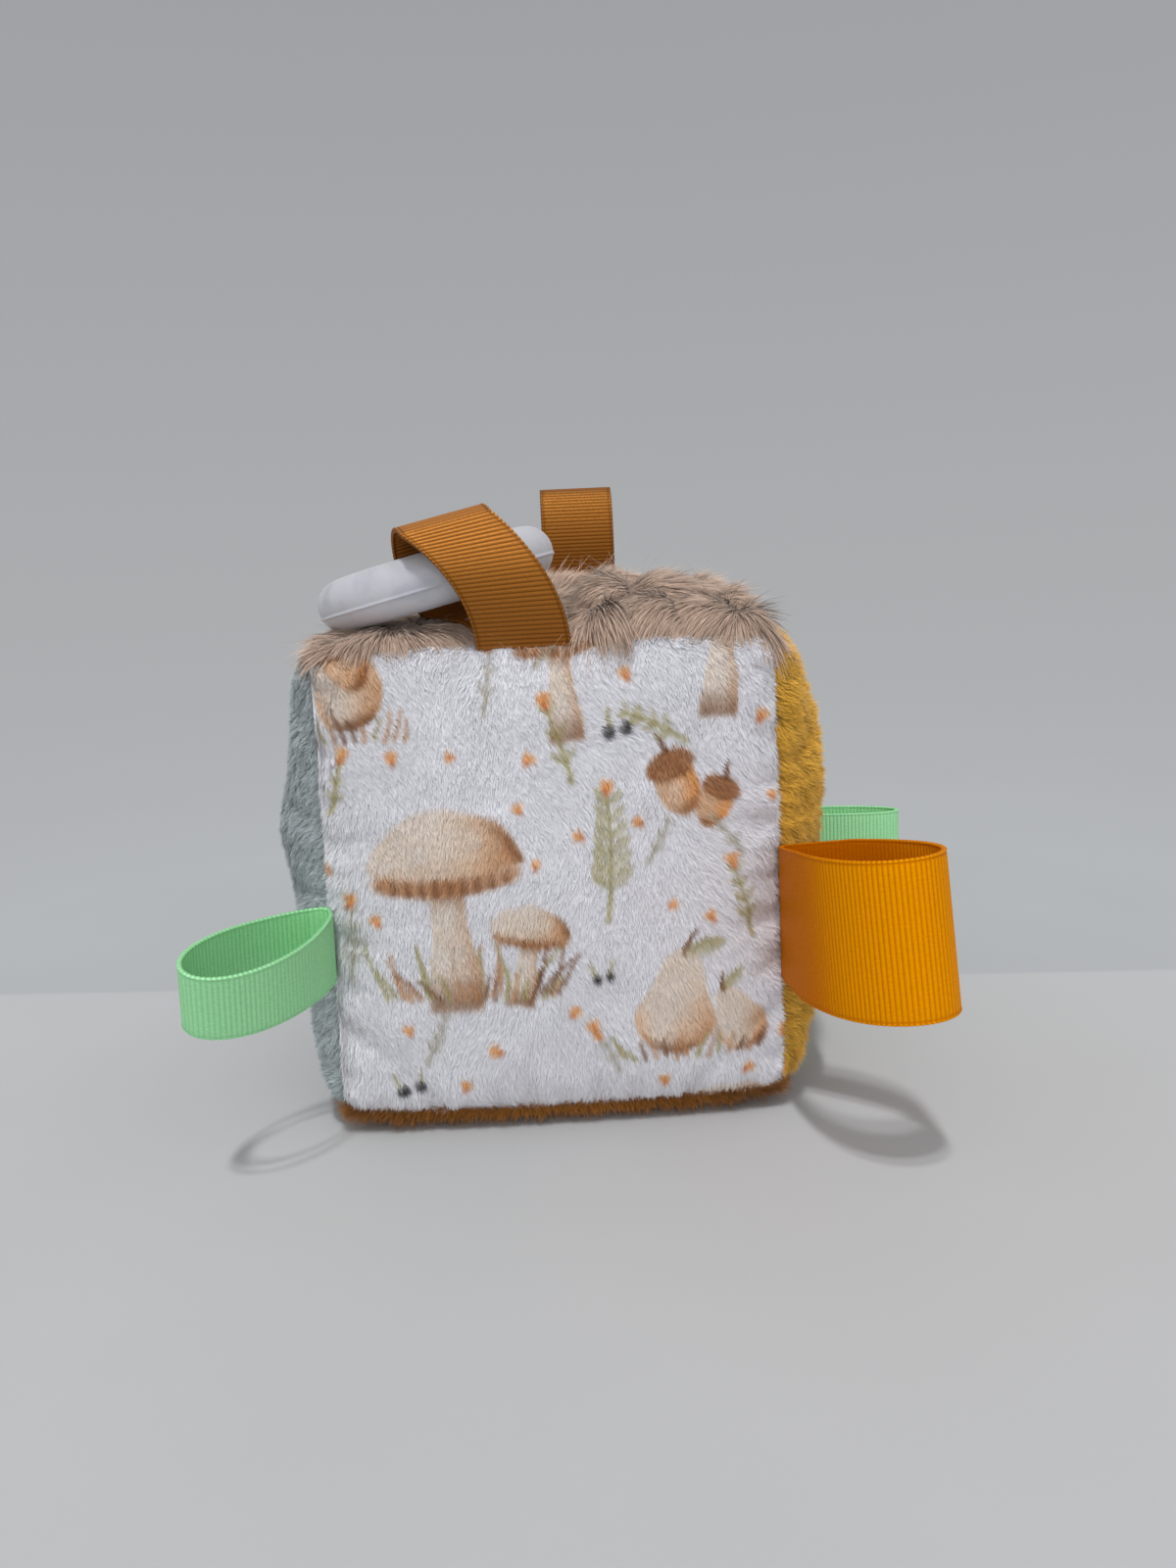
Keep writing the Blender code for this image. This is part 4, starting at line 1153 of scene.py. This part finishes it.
def dropOutline(loop):
    # places round a drop-shaped loop, along and across its length, and the way each one faces
    power, length = loop["belly"], loop["length"]

    def belly(turn):
        return math.sin(turn) * math.sin(turn / 2) ** power

    widest = 2 * math.atan(math.sqrt(1 + power))
    start = dropSteps["start"] * math.pi
    turns = np.linspace(start, 2 * math.pi - start, dropSteps["outline"] + 1)
    outline = np.array([(0.0, 0.0)] + [(length * (1 - math.cos(t)) / 2,
                                        loop["full"] * belly(t) / belly(widest)) for t in turns])
    facing = []
    for i in range(1, len(outline)):
        way = unit(outline[(i + 1) % len(outline)] - outline[i - 1])
        facing.append((outline[i], np.array([-way[1], way[0]])))
    # and round the small hem in the seam, from the last way back to the first
    first, final = facing[0][1], facing[-1][1]
    spin = (math.atan2(final[0] * first[1] - final[1] * first[0], final @ first)) % (2 * math.pi)
    for i in range(1, dropSteps["hem"]):
        c, s = math.cos(spin * i / dropSteps["hem"]), math.sin(spin * i / dropSteps["hem"])
        facing.append((outline[0], np.array([final[0] * c - final[1] * s, final[0] * s + final[1] * c])))
    return facing, outline[:, 0].max()


def dropLoop(loop):
    # stations of one loop: middle, direction across the ribbon, half its width, way it faces
    seat, outward, upright = loopAxes(loop)
    facing, length = dropOutline(loop)
    stations = []
    for place, normal in facing:
        share = max(place[0], 0) / length
        wide = turnedAbout(upright, outward, math.radians(loop["roll"]) * math.sqrt(share))
        wide = unit(wide - outward * (wide @ outward) * math.sqrt(share))
        side = unit(np.cross(wide, outward))
        face = unit(outward * normal[0] + side * normal[1])
        middle = seat + outward * place[0] + side * place[1] + face * hemRadius
        middle = middle + upright * loop["lift"] * share
        gather = loop["gather"] + (1 - loop["gather"]) * min(1, share / dropSteps["gatherOver"])
        stations.append((middle, wide, loop["width"] / 2 * gather, face))
    return stations, seat, outward


# The ring and the ribbon that holds it

ring = {
    "centreRadius": 0.0215, "tubeRadius": 0.006, "left": 0.0233, "behind": 0.026, "tilt": 13.5,
    "partingHeight": 0.32 * millimetre, "partingWidth": 0.32 * millimetre,
    "partingTurn": -16.0,      # of the mould's parting line, from the outermost place, degrees
    "partingCrowd": 0.75,      # how closely the samples crowd to that line
    "around": 220, "about": 72,
}
ringLoop = {
    "slot": "brown_ribbon", "cloth": "brownRibbon", "body": "ring_ribbon", "width": 0.020,
    "left": 0.0040, "turn": 15.0, "eyeRoom": 0.0058, "frontLean": 29.0, "rearLean": 22.0,
    "eyeFront": 29.0, "eyeRear": 90.0, "frontRise": 2.5, "frontEnd": 0.1, "rearRise": 1.8,
    "rearEnd": 1.9, "ribOpen": (0.48, 0.90),
    "plySteps": 24, "eyeSteps": 20, "hemSteps": 6,
}


def ringPlace():
    tilt = math.radians(ring["tilt"])
    toRight = right * math.cos(tilt) + up * math.sin(tilt)
    through = np.cross(toRight, rear)
    low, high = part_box("teething_ring")
    centre = np.array([-ring["left"], ring["behind"] - block["halfSize"][1], (low[2] + high[2]) / 2])
    return centre, toRight, through


def makeRing():
    centre, toRight, through = ringPlace()
    around = 2 * math.pi * np.arange(ring["around"]) / ring["around"]
    about = 2 * math.pi * np.arange(ring["about"]) / ring["about"]
    # the parting line of the mould runs round the outside, where more samples go
    about = about - ring["partingCrowd"] * np.sin(about)
    fromLine = np.where(about > math.pi, about - 2 * math.pi, about) * ring["tubeRadius"]
    line = np.exp(-(fromLine / ring["partingWidth"]) ** 2) * ring["partingHeight"]
    about = about + math.radians(ring["partingTurn"])
    away = toRight * np.sin(around)[:, None] - rear * np.cos(around)[:, None]
    radius = ring["tubeRadius"] + line
    out = ring["centreRadius"] + radius * np.cos(about)
    points = centre + away[:, None] * out[None, :, None] \
        + through * (radius * np.sin(about))[None, :, None]
    piece = meshObject("siliconeRing", points.reshape(-1, 3), ringFaces(numbered(*points.shape[:2])),
                       materials["silicone"])
    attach(piece, "ring")
    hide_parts("teething_ring")
    print("ring made")


def hermite(start, startWay, end, endWay, s):
    return (start * (2 * s ** 3 - 3 * s ** 2 + 1) + startWay * (s ** 3 - 2 * s ** 2 + s)
            + end * (3 * s ** 2 - 2 * s ** 3) + endWay * (s ** 3 - s ** 2))


def loopRoundRing():
    # stations of the loop that climbs from the seam, turns round the ring's tube and comes back
    centre, toRight, _ = ringPlace()
    turn = math.radians(ringLoop["turn"])
    away = toRight * math.sin(turn) - rear * math.cos(turn)
    eye, wide = centre + away * ring["centreRadius"], toRight * math.cos(turn) + rear * math.sin(turn)
    seat = seamSeat(-rear, up) - right * ringLoop["left"]
    rising = unit(up - wide * wide[2])
    front = np.cross(wide, rising)
    radius = ring["tubeRadius"] + ringLoop["eyeRoom"]
    reach = np.linalg.norm(eye - seat)
    eyeFront, eyeRear = math.radians(ringLoop["eyeFront"]), math.radians(ringLoop["eyeRear"])

    def roundEye(angle):
        return eye + (rising * math.cos(angle) + front * math.sin(angle)) * radius

    def alongEye(angle):
        return (rising * math.sin(angle) - front * math.cos(angle)) * reach

    frontWay = turnedAbout(up, right, math.radians(ringLoop["frontLean"]))
    rearWay = turnedAbout(up, right, -math.radians(ringLoop["rearLean"]))
    frontSide, rearSide = np.cross(right, frontWay), np.cross(rearWay, right)
    plySteps, eyeSteps, hemSteps = (ringLoop[name] for name in ("plySteps", "eyeSteps", "hemSteps"))
    path = [(hermite(seat + frontSide * hemRadius, frontWay * reach * ringLoop["frontRise"],
                     roundEye(eyeFront), alongEye(eyeFront) * ringLoop["frontEnd"], i / plySteps),
             i / plySteps) for i in range(plySteps)]
    path += [(roundEye(eyeFront - (eyeFront + eyeRear) * i / eyeSteps), 1.0) for i in range(eyeSteps + 1)]
    path += [(hermite(roundEye(-eyeRear), alongEye(-eyeRear) * ringLoop["rearEnd"],
                      seat + rearSide * hemRadius, -rearWay * reach * ringLoop["rearRise"], i / plySteps),
              1 - i / plySteps) for i in range(1, plySteps + 1)]
    sweep = math.acos(np.clip(frontSide @ rearSide, -1, 1))
    path += [(seat + turnedAbout(rearSide, right, -sweep * i / hemSteps) * hemRadius, 0.0)
             for i in range(1, hemSteps)]
    stations = []
    for i, (place, share) in enumerate(path):
        ease = share * share * (3 - 2 * share)
        across = unit(right * (1 - ease) + wide * ease)
        way = unit(path[(i + 1) % len(path)][0] - path[i - 1][0])
        stations.append((place, across, ringLoop["width"] / 2, unit(np.cross(across, way))))
    return stations, seat, unit(eye + rising * radius - seat)


def makeRibTree():
    # raises a woven ribbon's ribs along its length and steps its edges in between them
    tree, given = newGeometryTree("grosgrainRibs", (
        ("Rib Pitch", "Float"), ("Rib Height", "Float"), ("Scallop", "Float"), ("Material", "Material")))
    weave, faceWay, edgeWay, faceShare, ribOpen = (
        addNode(tree, "GeometryNodeInputNamedAttribute", {"Name": name}, "Attribute", data_type=kind)
        for name, kind in (("weavePlace", "FLOAT_VECTOR"), ("faceWay", "FLOAT_VECTOR"),
                           ("edgeWay", "FLOAT_VECTOR"), ("faceShare", "FLOAT"), ("ribOpen", "FLOAT")))
    # cord is 1 on top of a rib and 0 in the valley beside it
    along = addNode(tree, "ShaderNodeSeparateXYZ", {"Vector": weave}, "Y")
    ribs = addNode(tree, "ShaderNodeMath", {0: along, 1: given["Rib Pitch"]}, 0, operation="DIVIDE")
    within = addNode(tree, "ShaderNodeMath", {0: ribs}, 0, operation="FRACT")
    signed = addNode(tree, "ShaderNodeMath", {0: within, 1: 2.0, 2: -1.0}, 0, operation="MULTIPLY_ADD")
    fromTop = addNode(tree, "ShaderNodeMath", {0: signed}, 0, operation="ABSOLUTE")
    fall = addNode(tree, "ShaderNodeMath", {0: fromTop, 1: ribbonLook["ribRound"]}, 0, operation="POWER")
    cord = addNode(tree, "ShaderNodeMath", {0: 1.0, 1: fall}, 0, operation="SUBTRACT")
    # the share of painted highlight on the rib tops and painted shade in the valleys, which the material
    # reads as ribHeight
    ribLightShare = addNode(tree, "ShaderNodeMath", {0: cord, 1: ribOpen}, 0, operation="MULTIPLY")
    height = addNode(tree, "ShaderNodeMath", {0: cord, 1: given["Rib Height"]}, 0, operation="MULTIPLY")
    rise = addNode(tree, "ShaderNodeMath", {0: height, 1: faceShare}, 0, operation="MULTIPLY")
    below = addNode(tree, "ShaderNodeMath", {0: cord, 1: 1.0}, 0, operation="SUBTRACT")
    step = addNode(tree, "ShaderNodeMath", {0: below, 1: given["Scallop"]}, 0, operation="MULTIPLY")
    raised = addNode(tree, "ShaderNodeVectorMath", {0: faceWay, "Scale": rise}, 0, operation="SCALE")
    stepped = addNode(tree, "ShaderNodeVectorMath", {0: edgeWay, "Scale": step}, 0, operation="SCALE")
    offset = addNode(tree, "ShaderNodeVectorMath", {0: raised, 1: stepped}, 0, operation="ADD")
    marked = addNode(tree, "GeometryNodeStoreNamedAttribute",
                     {"Geometry": given["Geometry"], "Name": "ribHeight", "Value": ribLightShare}, 0,
                     data_type="FLOAT", domain="POINT")
    moved = addNode(tree, "GeometryNodeSetPosition", {"Geometry": marked, "Offset": offset}, 0)
    return endTree(tree, moved, given["Material"])


def resampledStations(stations):
    # a closed run of stations at even steps, a whole number of ribs round
    values = np.array([np.concatenate([m, w, [h], f]) for m, w, h, f in stations])
    values = np.concatenate([values, values[:1]])
    lengths = np.concatenate([[0], np.cumsum(np.linalg.norm(np.diff(values[:, :3], axis=0), axis=1))])
    ribs = round(lengths[-1] / ribbonLook["ribPitch"])
    count = ribs * ribbonLook["samplesPerRib"]
    places = np.linspace(0, lengths[-1], count, endpoint=False)
    # a smooth curve through the stations, by Catmull-Rom on each stretch
    knots = np.searchsorted(lengths, places, side="right") - 1
    knots = np.clip(knots, 0, len(lengths) - 2)
    t = ((places - lengths[knots]) / np.maximum(lengths[knots + 1] - lengths[knots], 1e-9))[:, None]
    total = len(values) - 1
    a, b, c, d = (values[(knots + k) % total] for k in (-1, 0, 1, 2))
    fine = 0.5 * (2 * b + (c - a) * t + (2 * a - 5 * b + 4 * c - d) * t ** 2
                  + (3 * b - a - 3 * c + d) * t ** 3)
    return fine, places, lengths[-1], lengths[-1] / ribs


def ribbonColumns(width):
    # round a ribbon's section: share of its half width, height of ribs, bead, and which face
    edges = np.array(ribbonLook["edgePlaces"]) * millimetre / (width / 2)
    body = np.linspace(-1 + edges[-1], 1 - edges[-1], ribbonLook["bodyColumns"] + 1)
    share = np.concatenate([-1 + edges[:-1], body, (1 - edges[:-1])[::-1]])
    plain = np.zeros(len(body) - 2)
    ribbed = np.concatenate([ribbonLook["edgeRibs"], plain + 1, ribbonLook["edgeRibs"][::-1]])
    bead = np.concatenate([ribbonLook["edgeBead"], plain, ribbonLook["edgeBead"][::-1]]) * millimetre
    face = list(zip(share, ribbed, bead))
    return [(*c, 1.0) for c in face[::-1]] + [(-1.0, 0.0, 0.0, 0.0)] \
        + [(*c, -1.0) for c in face] + [(1.0, 0.0, 0.0, 0.0)]


def makeRibbon(name, loop, shape, tree):
    stations, seat, outward = shape
    fine, places, length, pitch = resampledStations(stations)
    middle, wide, half, face = fine[:, :3], unit(fine[:, 3:6]), fine[:, 6], unit(fine[:, 7:])
    # ribs lie flat beside the seam and open round the bend, where their painted highlight and shade grow
    away = np.linalg.norm(middle - seat, axis=1)
    flat, opened = loop["ribOpen"]
    ribOpen = flat + (opened - flat) * smoothStep(away / away.max(), *ribbonLook["bendFrom"])
    points, weave, faceWay, edgeWay, faceShare, ribLightShares = columns = [[] for _ in range(6)]
    for across, rib, proud, side in ribbonColumns(loop["width"]):
        room = half - ribbonLook["edgeDraw"] * abs(side)
        points.append(middle + wide * (across * room)[:, None]
                      + face * (side * (ribbonLook["thick"] / 2 + proud)))
        # the small third part keeps the two faces' threads apart
        weave.append(np.stack([across * half, places, np.full(len(places), side * 0.01)], -1))
        faceWay.append(face * side)
        edgeWay.append(wide * across * (abs(across) > 0.99))
        faceShare.append(rib * (ribbonLook["flatRibs"] + ribOpen))
        # the share of painted rib highlight and shade that the material shows
        ribLightShares.append(ribOpen * max(rib, ribbonLook["edgeHighlight"]))
    points, weave, faceWay, edgeWay, faceShare, ribLightShares = (np.stack(c, 1) for c in columns)
    base = meshObject(name + "Base", points.reshape(-1, 3), ringFaces(numbered(*points.shape[:2])))
    storeAttribute(base, "weavePlace", weave)
    storeAttribute(base, "faceWay", faceWay)
    storeAttribute(base, "edgeWay", edgeWay)
    storeAttribute(base, "faceShare", faceShare, "FLOAT")
    storeAttribute(base, "ribOpen", ribLightShares, "FLOAT")
    piece = bakedByNodes(base, tree, {"Rib Pitch": pitch, "Rib Height": ribbonLook["ribHeight"],
                                      "Scallop": ribbonLook["scallop"],
                                      "Material": materials[loop["cloth"]]}, name + "Ribbon")
    bpy.data.objects.remove(base)
    dropAttributes(piece, ("faceWay", "edgeWay", "faceShare", "ribOpen"))
    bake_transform(piece)
    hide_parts(name)
    print(name, "made:", len(piece.data.polygons), "faces")


ribTree = makeRibTree()
for loopName, loopValues in loops.items():
    makeRibbon(loopName, loopValues, dropLoop(loopValues), ribTree)
makeRibbon("ring_loop", ringLoop, loopRoundRing(), ribTree)
makeRing()


# Floor, light and camera

studio = {
    "floorColour": "#bcbdbf", "wallColour": "#b1b4b7",
    "farColour": "#abadaf", "highColour": "#9fa1a5",
    "fadeFrom": 0.28, "fadeTo": 6.0,  # how far from the block the floor passes to the far tone, metres
    "wallLine": (0.0495, 0.0520),     # where the floor's tone passes to the wall's, front to rear
    "wallSlant": 0.1156,              # how far that line runs back towards the left
    "floorReach": 30.0,               # metres
    "ambient": 0.52,
    "wallRise": 0.38,                 # how high a view has to look for the wall's highest tone
    # two lamps overhead, whose shadows of the loops lie side by side, and the bright room in front
    "sunStrength": 0.80, "sunAngle": 3.5, "sunTravel": (0.07, 0.50, -1.0),
    "secondStrength": 0.72, "secondAngle": 3.5, "secondTravel": (0.07, 0.39, -1.0),
    "fillStrength": 0.87, "fillAngle": 80.0, "fillTravel": (0.0, 1.0, -0.25),
}
# the camera, fitted to the photograph; a sensor 36 mm wide, turns in degrees
photoCamera = {"lens": 29.77, "place": (-0.0018, -0.3245, 0.1225), "turns": (80.56, 2.614, -2.514)}


def seenAsFar(tree, kinds):
    # 1 for rays from the camera and the other kinds named, 0 for those that light the object
    light = addNode(tree, "ShaderNodeLightPath").outputs
    seen = light["Is Camera Ray"]
    for kind in kinds:
        seen = addNode(tree, "ShaderNodeMath", {0: seen, 1: light[f"Is {kind} Ray"]}, 0,
                       operation="MAXIMUM")
    return seen


def boardMaterial():
    # painted board, matt and even; far off it takes the tone of the wall for the camera
    made, tree, shader = newMaterial("mattPaintedBoard", {"Roughness": 0.7, "Specular IOR Level": 0.2})
    patchSize = 71.4 * millimetre
    place = addNode(tree, "ShaderNodeTexCoord", take="Object")
    back = addNode(tree, "ShaderNodeVectorMath", {0: place, 1: (studio["wallSlant"], 1.0, 0.0)}, "Value",
                   operation="DOT_PRODUCT")
    near, far = studio["wallLine"]
    line = addNode(tree, "ShaderNodeMapRange", {"Value": back, "From Min": near, "From Max": far},
                   "Result", interpolation_type="SMOOTHSTEP")
    tone = addNode(tree, "ShaderNodeMix", {0: line, 6: linearColour(studio["floorColour"]),
                                           7: linearColour(studio["wallColour"])}, 2, data_type="RGBA")
    patches = addNode(tree, "ShaderNodeTexNoise", {"Vector": place, "Scale": 1 / patchSize, "Detail": 3.0},
                      "Fac")
    mottle = addNode(tree, "ShaderNodeMapRange", {"Value": patches, "To Min": 0.97, "To Max": 1.03},
                     "Result")
    painted = addNode(tree, "ShaderNodeVectorMath", {0: tone, "Scale": mottle}, 0, operation="SCALE")
    tree.links.new(painted, shader.inputs["Base Color"])
    # one over the distance, so that the tone passes evenly up to the horizon
    away = addNode(tree, "ShaderNodeVectorMath", {0: place}, "Value", operation="LENGTH")
    nearness = addNode(tree, "ShaderNodeMath", {0: 1.0, 1: away}, 0, operation="DIVIDE")
    distant = addNode(tree, "ShaderNodeMapRange", {"Value": nearness, "From Min": 1 / studio["fadeFrom"],
                                                   "From Max": 1 / studio["fadeTo"]}, "Result")
    share = addNode(tree, "ShaderNodeMath", {0: distant, 1: seenAsFar(tree, ("Glossy", "Transmission"))},
                    0, operation="MULTIPLY")
    glow = addNode(tree, "ShaderNodeEmission", {"Color": linearColour(studio["farColour"])}, 0)
    both = addNode(tree, "ShaderNodeMixShader", {0: share, 1: shader.outputs[0], 2: glow}, 0)
    tree.links.new(both, tree.nodes["Material Output"].inputs["Surface"])
    return made


def makeAir():
    world = bpy.data.worlds.new("studioAir")
    bpy.context.scene.world = world
    world.use_nodes = True
    air = world.node_tree
    plain = air.nodes["Background"]
    plain.inputs["Color"].default_value = (1.0, 1.0, 1.0, 1.0)
    plain.inputs["Strength"].default_value = studio["ambient"]
    aim = addNode(air, "ShaderNodeTexCoord", take="Generated")
    high = addNode(air, "ShaderNodeSeparateXYZ", {"Vector": aim}, "Z")
    rise = addNode(air, "ShaderNodeMapRange", {"Value": high, "From Max": studio["wallRise"]}, "Result")
    tone = addNode(air, "ShaderNodeMix", {0: rise, 6: linearColour(studio["farColour"]),
                                          7: linearColour(studio["highColour"])}, 2, data_type="RGBA")
    wall = addNode(air, "ShaderNodeBackground", {"Color": tone}, 0)
    both = addNode(air, "ShaderNodeMixShader", {0: seenAsFar(air, ("Transmission",)),
                                                1: plain.outputs[0], 2: wall}, 0)
    air.links.new(both, air.nodes["World Output"].inputs["Surface"])


def makeStudio():
    reach = studio["floorReach"]
    corners = [(-reach, -reach, 0), (reach, -reach, 0), (reach, reach, 0), (-reach, reach, 0)]
    floorMesh = bpy.data.meshes.new("studioFloor")
    floorMesh.from_pydata(corners, [], [(0, 1, 2, 3)])
    floorMesh.materials.append(boardMaterial())
    placed(bpy.data.objects.new("studioFloor", floorMesh))
    makeAir()
    for name in ("sun", "second", "fill"):
        lamp = bpy.data.lights.new(name + "Light", "SUN")
        lamp.energy = studio[name + "Strength"]
        lamp.angle = math.radians(studio[name + "Angle"])
        light = placed(bpy.data.objects.new(name + "Light", lamp))
        light.rotation_euler = Vector(studio[name + "Travel"]).to_track_quat("-Z", "Y").to_euler()

    lens = bpy.data.cameras.new("photoCamera")
    lens.lens = photoCamera["lens"]
    lens.sensor_width = 36.0
    lens.clip_start = 0.01
    camera = placed(bpy.data.objects.new("photoCamera", lens))
    camera.location = photoCamera["place"]
    camera.rotation_euler = [math.radians(turn) for turn in photoCamera["turns"]]
    bpy.context.scene.camera = camera
    bpy.context.scene.view_settings.view_transform = "Standard"
    print("studio made")


makeStudio()
bpy.context.view_layer.update()
